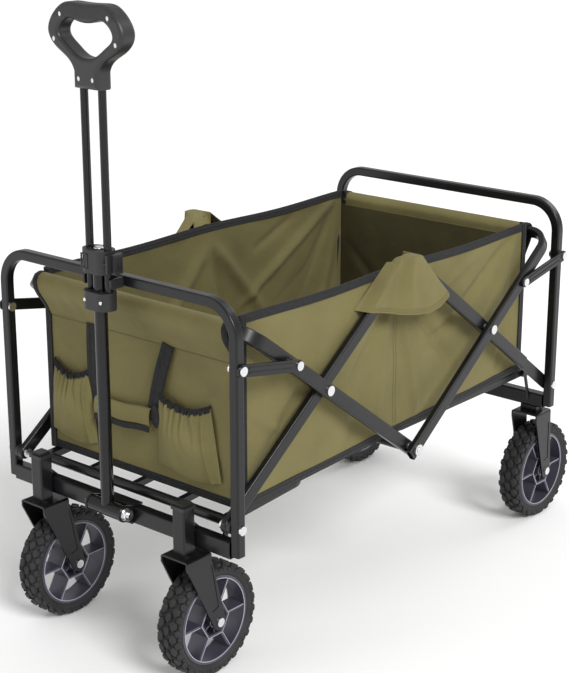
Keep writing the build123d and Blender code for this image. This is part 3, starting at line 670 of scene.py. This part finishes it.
class WAGON_OT_hub_highlights(bpy.types.Operator):
    """Paint highlights on the hubs' moulded edges and caps as thin light rings and spoke strips"""

    bl_idname = "wagon.hub_trim"
    bl_label = "Hub edges"

    def execute(self, context):
        base = bmesh.new()
        length = HUB_RADIUS - 0.0045 - HEX_RADIUS
        for side in (-1, 1):
            face = side * HUB_HALF
            for outer, inner, segments, height in HUB_HIGHLIGHT_RINGS:
                flat_ring(base, outer, inner, segments, face - 0.0002 * side, height * side)
            for spoke in range(6):
                made = bmesh.ops.create_cube(base, size=1.0)["verts"]
                bmesh.ops.scale(base, vec=(0.0010, length, 0.0009), verts=made)
                shift = Matrix.Translation((face - side * 0.0016, HEX_RADIUS + length / 2, side * 0.0016))
                turn = Matrix.Rotation(spoke * math.pi / 3, 4, "X")
                bmesh.ops.transform(base, matrix=turn @ shift, verts=made)
        bmesh.ops.recalc_face_normals(base, faces=base.faces)
        for wheel in WHEELS:
            bm = base.copy()
            bmesh.ops.translate(bm, vec=node_centre("hub_" + wheel), verts=bm.verts)
            # Each hub gets thin light pieces, painted highlights on its edges.
            add_piece("hub_edges_" + wheel, bm, "wheel_" + wheel, "hub_plastic", ("hub_edge",), smooth=False)
        base.free()
        return {"FINISHED"}


SCREW_X = 0.0165
RIB_PITCH = 0.0030
WINDOW = (-0.019, -0.007)
WINDOW_BAR = 0.0012


def add_detail(name, bm, body, slot):
    """Add a closed small part with its faces outwards."""
    bmesh.ops.recalc_face_normals(bm, faces=bm.faces)
    add_piece(name, bm, body, slot)


class WAGON_OT_handle_details(bpy.types.Operator):
    """Add the handle's screws, window, plug and the lever's ribs"""

    bl_idname = "wagon.handle_details"
    bl_label = "Handle details"

    def execute(self, context):
        block_low, block_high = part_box("lower_block")
        collar_low, collar_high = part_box("upper_collar")
        lever_low, lever_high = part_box("lock_lever")
        bm = bmesh.new()
        for x in (-SCREW_X, SCREW_X):
            dome(bm, (x, block_low.y + 0.0010, (block_low.z + block_high.z) / 2), (0, -1, 0), 0.0030, 0.0012)
        add_detail("block_screws", bm, "handle_slider", "bright_steel")
        bm = bmesh.new()
        dome(bm, (0, (collar_low.y + collar_high.y) / 2, collar_high.z + 0.0012), (0, 0, 1), 0.0078, 0.0020)
        add_detail("stem_plug", bm, "handle", "bright_steel")
        bm = bmesh.new()
        for rib in range(5):
            y = (lever_low.y + lever_high.y) / 2 + (rib - 2) * RIB_PITCH
            box_block(bm, (lever_high.x - 0.0006, y - 0.0008, lever_low.z + 0.004),
                      (lever_high.x + 0.0012, y + 0.0008, lever_high.z - 0.004), 0.0005)
        add_detail("lever_ribs", bm, "handle_lock", "black_plastic")
        bm = bmesh.new()
        left, right = WINDOW
        front, back = collar_low.y - 0.0010, collar_low.y + 0.0010
        for x in WINDOW:
            box_block(bm, (x - WINDOW_BAR, front, collar_low.z + 0.006),
                      (x + WINDOW_BAR, back, collar_high.z - 0.006), 0.0006)
        for z in (collar_low.z + 0.007, collar_high.z - 0.007):
            box_block(bm, (left - WINDOW_BAR, front, z - WINDOW_BAR),
                      (right + WINDOW_BAR, back, z + WINDOW_BAR), 0.0006)
        add_detail("collar_window", bm, "handle", "black_plastic")
        return {"FINISHED"}


# ------------------------------------------------------------------ tub
def fade(value, margin):
    """0 at both ends of 0..1, 1 past the margin."""
    return smooth_step(value / margin) * smooth_step((1 - value) / margin)


def crease_depth(y, z, creases):
    """Sum of soft ridges; each is (start y, start z, end y, end z, width, depth)."""
    total = 0.0
    for y1, z1, y2, z2, width, depth in creases:
        along_y, along_z = y2 - y1, z2 - z1
        length = math.hypot(along_y, along_z)
        where = ((y - y1) * along_y + (z - z1) * along_z) / length ** 2
        away = ((y - y1) * along_z - (z - z1) * along_y) / length
        if -0.15 < where < 1.15:
            total += depth * math.exp(-(away / width) ** 2) * fade((where + 0.15) / 1.3, 0.3)
    return total


SIDE_CREASES = (
    (0.33, 0.55, 0.08, 0.40, 0.010, -0.0060), (0.34, 0.54, 0.20, 0.33, 0.009, 0.0052),
    (0.35, 0.52, 0.29, 0.31, 0.008, -0.0035), (0.36, 0.50, 0.33, 0.36, 0.006, 0.0030),
    (0.01, 0.53, 0.16, 0.36, 0.012, -0.0064), (0.01, 0.52, 0.06, 0.30, 0.009, 0.0048),
    (-0.01, 0.52, -0.13, 0.38, 0.012, -0.0060), (-0.02, 0.50, -0.05, 0.31, 0.008, 0.0030),
    (-0.34, 0.53, -0.20, 0.40, 0.012, 0.0040), (-0.35, 0.30, -0.22, 0.44, 0.014, -0.0045),
    (-0.36, 0.42, -0.24, 0.34, 0.008, 0.0030), (0.10, 0.31, 0.28, 0.44, 0.013, 0.0035),
    (-0.12, 0.30, -0.06, 0.44, 0.016, -0.0040), (0.22, 0.54, 0.12, 0.50, 0.008, 0.0030),
)
CREASE_STRENGTH = 1.35
SIDE_SEED = 4.0


def bottom_height(y):
    """Height of the tub's bottom edge along its length."""
    return FLOOR_FRONT + (FLOOR_REAR - FLOOR_FRONT) * (y - FRONT_Y) / (REAR_Y - FRONT_Y)


def side_push(side, y, z):
    """How far a side wall stands out from its flat place."""
    along = (y - FRONT_Y) / (REAR_Y - FRONT_Y)
    up = (z - bottom_height(y)) / (TUB_TOP - bottom_height(y))
    hold = fade(along, 0.06) * fade(up, 0.10)
    soft = noise.noise(Vector((y * 7 + SIDE_SEED, z * 9, side * 3.1))) * 0.0045
    fine = noise.noise(Vector((y * 26 + SIDE_SEED, z * 30, side * 5.7))) * 0.0011
    seam = -0.0030 * math.exp(-(y / 0.030) ** 2) * fade(up, 0.2)
    bulge = 0.0030 * math.sin(math.pi * min(1, max(0, up))) * abs(math.sin(2 * math.pi * along))
    creases = CREASE_STRENGTH * crease_depth(y * (1 if side > 0 else 0.97), z, SIDE_CREASES)
    total = hold * (soft + fine + bulge + seam + creases)
    return max(-0.010, min(0.0062, total))


def side_point(side, y, z):
    """A place on a side wall."""
    return Vector((side * (HALF_TUB - 0.001 + side_push(side, y, z)), y, z))


def top_height(y):
    """Height of the tub's top edge, hanging a little between its supports."""
    along = abs(y) / REAR_Y
    return TUB_TOP - 0.004 * math.sin(math.pi * min(1.0, along)) ** 2


class WAGON_OT_side_walls(bpy.types.Operator):
    """Make the two long walls of the tub, each sewn from two halves"""

    bl_idname = "wagon.side_walls"
    bl_label = "Side walls"

    def execute(self, context):
        thickness = context.scene.wagon_cloth.cloth
        length = REAR_Y - FRONT_Y - 0.002
        for side, word in SIDES:
            def shape(u, v, side=side):
                y = FRONT_Y + 0.001 + u * length
                low = bottom_height(y) + 0.002
                z = low + v * (top_height(y) - low)
                return side_point(side, y, z)

            flat = (length, TUB_TOP - FLOOR_FRONT)
            # The wall's inner face takes the darker olive copy, painted shade inside the tub.
            wall = make_sheet("side_wall_" + word, "tub_front", shape, (190, 76), flat, thickness,
                              (side, 0, 0), ("olive_fabric", "inner_fabric"), ("side_panel_" + word,))
            fold_with_frame(wall)
        return {"FINISHED"}


STITCH_PITCH = 0.0042
STITCH_RADIUS = 0.00045
THREAD = ("olive_thread",)


def stitch_row(bm, points, out):
    """A row of sewn stitches along a line of points, standing out along a direction."""
    pitch, radius = STITCH_PITCH, STITCH_RADIUS
    lengths = [0.0]
    for first, second in zip(points, points[1:]):
        lengths.append(lengths[-1] + (second - first).length)
    total = lengths[-1]

    def at(distance):
        for index in range(1, len(points)):
            if distance <= lengths[index] or index == len(points) - 1:
                part = (distance - lengths[index - 1]) / max(1e-9, lengths[index] - lengths[index - 1])
                return points[index - 1].lerp(points[index], min(1.0, max(0.0, part)))

    count = int(total / pitch)
    for index in range(count):
        start, end = at(index * pitch + pitch * 0.14), at((index + 1) * pitch - pitch * 0.14)
        middle = (start + end) / 2 + out * radius * 0.6
        turn = Vector((0, 0, 1)).rotation_difference(end - start).to_matrix().to_4x4()
        made = bmesh.ops.create_icosphere(bm, subdivisions=1, radius=1.0)["verts"]
        bmesh.ops.scale(bm, vec=(radius, radius, (end - start).length * 0.56), verts=made)
        bmesh.ops.transform(bm, matrix=Matrix.Translation(middle) @ turn, verts=made)


class WAGON_OT_seams(bpy.types.Operator):
    """Sew the seams of the walls"""

    bl_idname = "wagon.seams"
    bl_label = "Seams"

    def execute(self, context):
        for side, word in SIDES:
            bm = bmesh.new()
            for shift in (-0.0035, 0.0035):
                line = []
                for index in range(31):
                    z = bottom_height(0) + 0.014 + index / 30 * (TUB_TOP - bottom_height(0) - 0.030)
                    line.append(side_point(side, shift, z) + Vector((side * 0.0009, 0, 0)))
                stitch_row(bm, line, Vector((side, 0, 0)))
            piece = add_piece("side_seam_" + word, bm, "tub_front", "olive_fabric", THREAD, sharp=180)
            fold_with_frame(piece)
        bm = bmesh.new()
        for z in (SEAM_Z + 0.002, SEAM_Z - 0.002):
            line = [end_point(-1, x * 0.01, z) + Vector((0, -0.0012, 0)) for x in range(-19, 20)]
            stitch_row(bm, line, Vector((0, -1, 0)))
        add_piece("front_sleeve_stitches", bm, "tub_front", "olive_fabric", THREAD, sharp=180)
        return {"FINISHED"}


TUBE_Y = 0.385
TUBE_Z = 0.549
SLEEVE_RADIUS = 0.0135
SLEEVE_HALF = 0.203
SEAM_Z = 0.4945


def end_push(end, x, z):
    """How far an end wall stands out from its flat place."""
    across = (x + HALF_TUB) / (2 * HALF_TUB)
    up = (z - FLOOR_FRONT) / (TUB_TOP - FLOOR_FRONT)
    hold = fade(across, 0.10) * fade(up, 0.10)
    soft = noise.noise(Vector((x * 9, z * 8, end * 7.3))) * 0.0030
    fine = noise.noise(Vector((x * 31, z * 27, end * 2.9))) * 0.0008
    creases = crease_depth(x, z, (
        (-0.19, 0.47, -0.07, 0.36, 0.010, 0.0022), (0.19, 0.48, 0.10, 0.36, 0.010, 0.0022),
        (-0.18, 0.30, -0.08, 0.40, 0.012, -0.0025), (0.17, 0.31, 0.05, 0.42, 0.012, -0.0025),
    ))
    return max(-0.006, min(0.0035, hold * (soft + fine + creases)))


def end_point(end, x, z):
    """A place on an end wall; end is -1 at the handle."""
    return Vector((x, end * (REAR_Y - 0.001 + end_push(end, x, z)), z))


def sleeve_section():
    """(outward, height) pairs of the sleeve round the cross tube, from the seam over the top and inside."""
    out = TUBE_Y - REAR_Y
    pairs = []
    for index in range(9):
        part = index / 8
        pairs.append((smooth_step(part) * (out + SLEEVE_RADIUS - 0.0012) * 0.98 + 0.0012,
                      SEAM_Z + part * (TUBE_Z - SEAM_Z - 0.004)))
    for index in range(13):
        angle = math.radians(-8 + index * 178 / 12)
        pairs.append((out + SLEEVE_RADIUS * math.cos(angle), TUBE_Z + SLEEVE_RADIUS * math.sin(angle)))
    pairs.append((0.0006, TUBE_Z - 0.009))
    return pairs


class WAGON_OT_end_walls(bpy.types.Operator):
    """Make the two end walls and the sleeves that hold the cross tubes"""

    bl_idname = "wagon.end_walls"
    bl_label = "End walls"

    def execute(self, context):
        thickness = context.scene.wagon_cloth.cloth
        for end, word, body, floor in ENDS:
            low, high = floor + 0.003, TUBE_Z - 0.008

            def shape(u, v, end=end, low=low, high=high):
                x = (u - 0.5) * 2 * (HALF_TUB - 0.0035)
                return end_point(end, x, low + v * (high - low))

            flat = (2 * (HALF_TUB - 0.0035), high - low)
            # The inner face takes the much darker olive copy, painted shade inside the ends of the tub.
            wall = make_sheet("end_wall_" + word, body, shape, (110, 76), flat, thickness,
                              (0, end, 0), ("olive_fabric", "end_lining"), (word + "_panel",))

            section = sleeve_section()
            girth = sum(math.dist(a, b) for a, b in zip(section, section[1:]))

            def wrap(u, v, end=end, section=section):
                x = (u - 0.5) * 2 * SLEEVE_HALF
                along = v * (len(section) - 1)
                index = min(len(section) - 2, int(along))
                part = along - index
                out = section[index][0] + part * (section[index + 1][0] - section[index][0])
                z = section[index][1] + part * (section[index + 1][1] - section[index][1])
                ripple = noise.noise(Vector((x * 60, z * 14, end * 4.1))) * 0.0012
                ripple += noise.noise(Vector((x * 16, z * 9, end * 8.3))) * 0.0022
                ripple = max(-0.0015, min(0.002, ripple * fade(v, 0.15)))
                return Vector((x, end * (REAR_Y + out + ripple * (1 if v < 0.55 else 0.3)), z))

            flat = (2 * SLEEVE_HALF, girth)
            sleeve = make_sheet("sleeve_" + word, body, wrap, (110, 48), flat, thickness)
        return {"FINISHED"}


# The floor rests on the front grid, then steps up to the rear one.
FLOOR_LOW = 0.2800
STEP_HEIGHT = 0.0155
STEP_Y = -0.205
STEP_LENGTH = 0.190


class WAGON_OT_floor(bpy.types.Operator):
    """Make the tub's floor"""

    bl_idname = "wagon.floor"
    bl_label = "Tub floor"

    def execute(self, context):
        def shape(u, v):
            x = (u - 0.5) * 2 * (HALF_TUB - 0.003)
            y = FRONT_Y + 0.002 + v * (REAR_Y - FRONT_Y - 0.004)
            dip = noise.noise(Vector((x * 8, y * 7, 1.7))) * 0.0014
            dip += noise.noise(Vector((x * 30, y * 28, 6.1))) * 0.0006
            step = smooth_step((y - STEP_Y) / STEP_LENGTH) * STEP_HEIGHT
            return Vector((x, y, FLOOR_LOW + step + (0.0012 + dip) * fade(u, 0.06) * fade(v, 0.04)))

        flat = (2 * (HALF_TUB - 0.003), REAR_Y - FRONT_Y - 0.004)
        # The floor takes the darker olive copy on both faces, painted shade at the bottom of the tub.
        floor = make_sheet("floor_sheet", "tub_front", shape, (80, 120), flat, 0.0016,
                           materials=("inner_fabric",), replaces=("tub_floor",))
        fold_with_frame(floor)
        return {"FINISHED"}


# ------------------------------------------------------------------ binding
def tape_section(height, thickness):
    """Rounded rectangle, (side, up) pairs, hanging down from the fold at the top."""
    half = thickness / 2
    return [(-half, -height), (-half, -0.0008), (-half * 0.55, 0.0002), (half * 0.55, 0.0002),
            (half, -0.0008), (half, -height)]


def tape(bm, path, axes, height, thickness):
    """Lay folded tape over an edge; axes is one (side, up) pair, or a list of them."""
    if isinstance(axes, tuple):
        axes = [axes] * len(path)
    sweep_loop(bm, tape_section(height, thickness), path, axes)


TAPE_THICK = 0.0042
CORNER_HEIGHT = 0.0125
CORNER_THICK = 0.0034
SLEEVE_BOUND = 22  # points of the sleeve's section that the tape covers


class WAGON_OT_binding(bpy.types.Operator):
    """Bind the tub's edges with black tape"""

    bl_idname = "wagon.binding"
    bl_label = "Edge binding"

    def execute(self, context):
        height = context.scene.wagon_cloth.tape
        up, ahead, across, steps = Vector((0, 0, 1)), Vector((0, 1, 0)), Vector((1, 0, 0)), 96
        for side, word in SIDES:
            out = Vector((side, 0, 0))
            bm = bmesh.new()
            ys = [FRONT_Y + 0.0005 + i / steps * (REAR_Y - FRONT_Y - 0.001) for i in range(steps + 1)]
            top = [side_point(side, y, top_height(y)) + up * 0.0005 for y in ys]
            tape(bm, top, (out, up), height, TAPE_THICK)
            foot = [side_point(side, y, bottom_height(y)) + up * 0.0014 for y in ys]
            tape(bm, foot, (out, -up), height, TAPE_THICK)
            piece = add_piece("tub_binding_" + word, bm, "tub_front", "black_webbing", sharp=50)
            fold_with_frame(piece)
        for end, word, body, floor in ENDS:
            bm = bmesh.new()
            for side, _ in SIDES:
                corner = Vector((side * (HALF_TUB + 0.0002), end * (REAR_Y + 0.0008), 0))
                line = [corner + up * (floor + i / 40 * (TUB_TOP - floor)) for i in range(41)]
                tape(bm, line, (ahead, across * side), CORNER_HEIGHT, CORNER_THICK)
                tape(bm, line, (across, ahead * end), CORNER_HEIGHT, CORNER_THICK)
                edge = [Vector((side * (SLEEVE_HALF + 0.001), end * (REAR_Y + out), z))
                        for out, z in sleeve_section()[:SLEEVE_BOUND]]
                axes = [(axis, across * side) for axis, _ in flat_axes(edge, across)]
                tape(bm, edge, axes, 0.008, 0.0040)
            line = [end_point(end, x / 40 * (HALF_TUB - 0.001), floor + 0.001) for x in range(-40, 41)]
            tape(bm, line, (ahead, -up), height, TAPE_THICK)
            add_piece("end_binding_" + word, bm, body, "black_webbing", sharp=50)
        return {"FINISHED"}


# ------------------------------------------------------------------ hinge flaps
FLAP_FACE = 0.2470
FLAP_TOP = 0.13
FRONT_BAR = 0.0235
FLAP_FLAT = (0.225, 0.118)
FLAP_HEM = (
    # share of the width, height of the hem
    (0.0, 0.517), (0.14, 0.511), (0.36, 0.499), (0.67, 0.488), (0.82, 0.4915), (0.91, 0.502), (1.0, 0.520),
)


def hem_height(u):
    """Height of the flap's hem at a share of its width."""
    for (u1, z1), (u2, z2) in zip(FLAP_HEM, FLAP_HEM[1:]):
        if u <= u2:
            return z1 + (z2 - z1) * (u - u1) / (u2 - u1)
    return FLAP_HEM[-1][1]


def flap_point(side, u, v):
    """A place on the cloth cover of an upper hinge; v runs from the wall over the hinge to the hem."""
    wall = HALF_TUB + 0.0012
    fall = max(0.0, (v - FLAP_TOP) / (1 - FLAP_TOP))
    rise = min(1.0, v / FLAP_TOP)
    left, right = -0.032 - 0.081 * fall, 0.0105 + 0.0905 * fall
    y = left + u * (right - left)
    crest = 0.5900 - 0.013 * (1 - u) ** 3 - 0.003 * u ** 2
    z = (crest - (1 - rise) ** 6 * 0.020) * (1 - fall) + hem_height(u) * fall
    front_bar = smooth_step(u / 0.08) * FRONT_BAR
    rear_bar = smooth_step((u - 0.24) / 0.24) * (FLAP_FACE - wall - FRONT_BAR)
    back = 1 - smooth_step((u - 0.93) / 0.07) * 0.97
    out = wall + (front_bar + rear_bar) * back * rise
    ripple = noise.noise(Vector((y * 22, z * 20, side * 2.2))) * 0.0024
    ripple += noise.noise(Vector((y * 60, z * 50, side * 1.2))) * 0.0008
    ripple += 0.0020 * math.exp(-((u - 0.42 - 0.1 * fall) / 0.05) ** 2) * fall
    ripple -= 0.0022 * math.exp(-((u - 0.30) / 0.06) ** 2) * fall
    return Vector((side * (out + ripple * fade(u, 0.12) * smooth_step(v / 0.2)), y, z))


class WAGON_OT_hinge_flaps(bpy.types.Operator):
    """Make the cloth covers over the two upper hinges"""

    bl_idname = "wagon.hinge_flaps"
    bl_label = "Hinge covers"

    def execute(self, context):
        for side, word in SIDES:
            def shape(u, v, side=side):
                return flap_point(side, u, v)

            flap = make_sheet("hinge_cover_" + word, "tub_front", shape, (70, 44), FLAP_FLAT,
                              context.scene.wagon_cloth.cloth)
            stitches = bmesh.new()
            for inset in (0.965, 0.925):
                proud = Vector((side * 0.0009, 0, 0))
                line = [shape(0.02 + i / 60 * 0.96, inset) + proud for i in range(61)]
                stitch_row(stitches, line, Vector((side, 0, 0)))
            seam = add_piece("hinge_cover_stitches_" + word, stitches, "tub_front", "olive_fabric",
                             THREAD, sharp=180)
            for piece in (flap, seam):
                fold_with_frame(piece)
        return {"FINISHED"}


# ------------------------------------------------------------------ pockets and straps
POCKETS = (
    # name, foot's left and right, mouth's left and right, foot, mouth, droop of the mouth
    ("left", -0.196, -0.094, -0.186, -0.103, 0.300, 0.424, 0.020),
    ("right", 0.042, 0.170, 0.046, 0.150, 0.302, 0.420, 0.018),
)


def pocket_point(pocket, u, v):
    """A place on a gathered pocket; v runs from its foot to its mouth."""
    _, low_left, low_right, top_left, top_right, foot, mouth, droop = pocket
    left = low_left + (top_left - low_left) * v
    right = low_right + (top_right - low_right) * v
    belly = math.sin(math.pi * u) ** 0.55
    fall = droop * math.sin(math.pi * (u * 0.9 + 0.05)) ** 0.8
    z = foot + v * (mouth - foot) - fall * v ** 2.2 + 0.004 * (1 - v) * math.cos(u * 5)
    puff = (0.0030 + 0.0150 * math.sin(math.pi * (v * 0.86 + 0.06)) ** 0.7) * belly
    wander = noise.noise(Vector((u * 3.1, v * 1.5, foot * 40)))
    gather = math.sin(u * 46 + 5.0 * wander) + 0.5 * math.sin(u * 83 + 7 * wander)
    gather *= 0.0019 * smooth_step((v - 0.30) / 0.6) * belly
    crumple = noise.noise(Vector((u * 4.2, z * 32, low_left * 9))) * 0.0038 * belly
    pleat = 0.0045 * math.exp(-((u - 0.90 + 0.04 * v) / 0.022) ** 2) * (1 - v * 0.6)
    out = 0.0032 + max(0.0, puff + gather + crumple + pleat)
    return Vector((left + u * (right - left), FRONT_Y - out, z))


class WAGON_OT_pockets(bpy.types.Operator):
    """Make the two gathered pockets with their elastic tops"""

    bl_idname = "wagon.pockets"
    bl_label = "Pockets"

    def execute(self, context):
        for pocket in POCKETS:
            word, width, height = pocket[0], pocket[2] - pocket[1], pocket[6] - pocket[5]

            def shape(u, v, pocket=pocket):
                return pocket_point(pocket, u, v)

            flat = (width * 1.12, height * 1.05)
            bag = make_sheet("pocket_" + word, "tub_front", shape, (110, 70), flat, 0.001, (0, -1, 0),
                             replaces=("front_pockets",) if word == "left" else ())
            hem = bmesh.new()
            line = []
            for index in range(121):
                point = shape(index / 120, 1.0)
                ruche = 0.0004 * math.sin(index * 1.1) + 0.0003 * math.sin(index * 2.3)
                line.append(point + Vector((0, ruche, 0.0046 + ruche)))
            tape(hem, line, (Vector((0, 1, 0)), Vector((0, 0, 1))), 0.0105, TAPE_THICK)
            elastic = add_piece("pocket_elastic_" + word, hem, "tub_front", "black_webbing", sharp=60)
            for piece in (bag, elastic):
                fold_with_frame(piece)
        return {"FINISHED"}


def strap_run(bm, points, width, thickness):
    """Flat webbing along a path that lies on the front wall."""
    half = width / 2
    section = [(-half, 0), (-half + 0.0006, thickness), (half - 0.0006, thickness), (half, 0)]
    path = [Vector(point) for point in points]
    outward = Vector((0, -1, 0))
    axes = []
    for index in range(len(path)):
        ahead = path[min(index + 1, len(path) - 1)] - path[max(index - 1, 0)]
        side = ahead.cross(outward).normalized()
        axes.append((side, outward))
    sweep_loop(bm, section, path, axes)


STRAP_TOP = 0.496
ROLL_LEFT = -0.089
ROLL_Z = 0.3655
ROLL_FLAT = (0.120, 0.072)


class WAGON_OT_straps(bpy.types.Operator):
    """Make the closing straps and the rolled flap they hold"""

    bl_idname = "wagon.straps"
    bl_label = "Closing straps"

    def execute(self, context):
        face = FRONT_Y - 0.0028
        bm = bmesh.new()
        strap_run(bm, [(-0.0985 + 0.004 * smooth_step(i / 24), face - 0.003 * math.sin(math.pi * i / 24),
                        STRAP_TOP - i / 24 * 0.150) for i in range(25)], 0.0225, 0.0018)
        strap_run(bm, [(0.066 - 0.034 * (i / 20) ** 1.1, face - 0.004 * math.sin(math.pi * i / 20),
                        STRAP_TOP - i / 20 * 0.110) for i in range(21)], 0.0240, 0.0018)
        loop = [math.sin(i / 12 * math.pi) for i in range(13)]
        strap_run(bm, [(0.033 + 0.010 * bow, face - 0.002 - 0.005 * bow, 0.392 - i / 12 * 0.026)
                       for i, bow in enumerate(loop)], 0.020, 0.0020)
        add_piece("closing_straps", bm, "tub_front", "black_webbing", replaces=("front_straps",), sharp=50)

        def roll(u, v):
            x = ROLL_LEFT + u * ROLL_FLAT[0]
            turn = v * 2 * math.pi * 0.92 - 0.6
            radius = 0.0052 + 0.0006 * math.sin(u * 17) + 0.0006 * v
            depth = face - 0.0055 - radius * math.cos(turn)
            z = ROLL_Z + 0.006 * u + 0.0165 * math.sin(turn) + 0.0012 * math.sin(u * 9)
            return Vector((x, min(face + 0.001, depth), z))

        flap = make_sheet("rolled_flap", "tub_front", roll, (60, 40), ROLL_FLAT, 0.0012)
        bm = bmesh.new()
        line = [Vector((ROLL_LEFT + i / 30 * ROLL_FLAT[0], face - 0.0105,
                        ROLL_Z - 0.012 + 0.006 * i / 30 + 0.0012 * math.sin(i * 0.3))) for i in range(31)]
        tape(bm, line, (Vector((0, 1, 0)), Vector((0, 0, 1))), 0.008, 0.0024)
        add_piece("flap_binding", bm, "tub_front", "black_webbing", sharp=50)
        return {"FINISHED"}


# ------------------------------------------------------------------ stage
def lamp(name, place_at, aim, size, power):
    """A soft square light."""
    data = bpy.data.lights.new(name, "AREA")
    data.shape, data.size, data.energy = "SQUARE", size, power
    made = bpy.data.objects.new(name, data)
    made.location = place_at
    made.rotation_euler = (Vector(aim) - Vector(place_at)).to_track_quat("-Z", "Y").to_euler()
    bpy.context.scene.collection.objects.link(made)


class WAGON_OT_stage(bpy.types.Operator):
    """Set the camera, the pale floor and the soft lights"""

    bl_idname = "wagon.stage"
    bl_label = "Studio"

    def execute(self, context):
        scene = context.scene
        view = scene.wagon_view
        az, el = view.azimuth, view.elevation
        back = Vector((math.sin(az) * math.cos(el), -math.cos(az) * math.cos(el), math.sin(el)))
        right = Vector((0, 0, 1)).cross(back).normalized()
        up = back.cross(right)
        data = bpy.data.cameras.new("camera")
        data.sensor_fit, data.sensor_width, data.sensor_height = "VERTICAL", 36.0, 36.0
        data.lens = view.lens
        data.clip_end = 50.0
        camera = bpy.data.objects.new("camera", data)
        camera.matrix_world = Matrix((
            (right.x, up.x, back.x, view.place[0]), (right.y, up.y, back.y, view.place[1]),
            (right.z, up.z, back.z, view.place[2]), (0, 0, 0, 1),
        ))
        scene.collection.objects.link(camera)
        scene.camera = camera

        bm = bmesh.new()
        bmesh.ops.create_grid(bm, x_segments=1, y_segments=1, size=60.0)
        mesh = bpy.data.meshes.new("floor")
        bm.to_mesh(mesh)
        bm.free()
        ground = bpy.data.objects.new("floor", mesh)
        pale = bpy.data.materials.new("pale_floor")
        pale.use_nodes = True
        shader = pale.node_tree.nodes["Principled BSDF"].inputs
        shader["Base Color"].default_value = (0.97, 0.97, 0.97, 1)
        shader["Roughness"].default_value = 0.9
        shader["Specular IOR Level"].default_value = 0.1
        mesh.materials.append(pale)
        scene.collection.objects.link(ground)

        world = bpy.data.worlds.new("studio")
        world.use_nodes = True
        sky = world.node_tree.nodes["Background"].inputs
        sky["Color"].default_value = (1, 1, 1, 1)
        sky["Strength"].default_value = 0.62
        scene.world = world
        scene.view_settings.view_transform = "Standard"
        sun = bpy.data.lights.new("sun", "SUN")
        sun.energy, sun.angle = 2.3, math.radians(24)
        key = bpy.data.objects.new("sun", sun)
        key.rotation_euler = Vector((3.2, -0.9, 2.6)).to_track_quat("Z", "Y").to_euler()
        scene.collection.objects.link(key)
        aim = (0.0, 0.0, 0.4)
        lamp("fill", (-1.6, -3.4, 1.6), aim, 1.6, 14)
        lamp("rim", (0.6, 3.0, 2.6), aim, 1.8, 22)
        return {"FINISHED"}


# ------------------------------------------------------------------ add-on
class WAGON_PT_panel(bpy.types.Panel):
    """Steps of the wagon, in order"""

    bl_label = "Camp wagon"
    bl_idname = "WAGON_PT_panel"
    bl_space_type = "VIEW_3D"
    bl_region_type = "UI"
    bl_category = "Wagon"

    def draw(self, context):
        for group in ("wagon_cloth", "wagon_metal", "wagon_view"):
            settings = getattr(context.scene, group)
            for key in settings.__annotations__:
                self.layout.prop(settings, key)
        for step in STEPS:
            self.layout.operator(step.bl_idname)


STEPS = (
    WAGON_OT_stage, WAGON_OT_finishes, WAGON_OT_tyres, WAGON_OT_hub_highlights, WAGON_OT_handle_details,
    WAGON_OT_side_walls, WAGON_OT_end_walls, WAGON_OT_floor, WAGON_OT_binding, WAGON_OT_hinge_flaps,
    WAGON_OT_seams, WAGON_OT_pockets, WAGON_OT_straps,
)
GROUPS = (WagonCloth, WagonMetal, WagonView)


def register():
    """Register the settings, steps and panel."""
    for item in (*GROUPS, *STEPS, WAGON_PT_panel):
        bpy.utils.register_class(item)
    bpy.types.Scene.wagon_cloth = bpy.props.PointerProperty(type=WagonCloth)
    bpy.types.Scene.wagon_metal = bpy.props.PointerProperty(type=WagonMetal)
    bpy.types.Scene.wagon_view = bpy.props.PointerProperty(type=WagonView)


def unregister():
    """Take the settings, steps and panel away again."""
    for key in ("wagon_cloth", "wagon_metal", "wagon_view"):
        delattr(bpy.types.Scene, key)
    for item in reversed((*GROUPS, *STEPS, WAGON_PT_panel)):
        bpy.utils.unregister_class(item)


def main():
    """Build the wagon."""
    register()
    for step in STEPS:
        group, name = step.bl_idname.split(".")
        getattr(getattr(bpy.ops, group), name)()


if __name__ == "__main__":
    main()
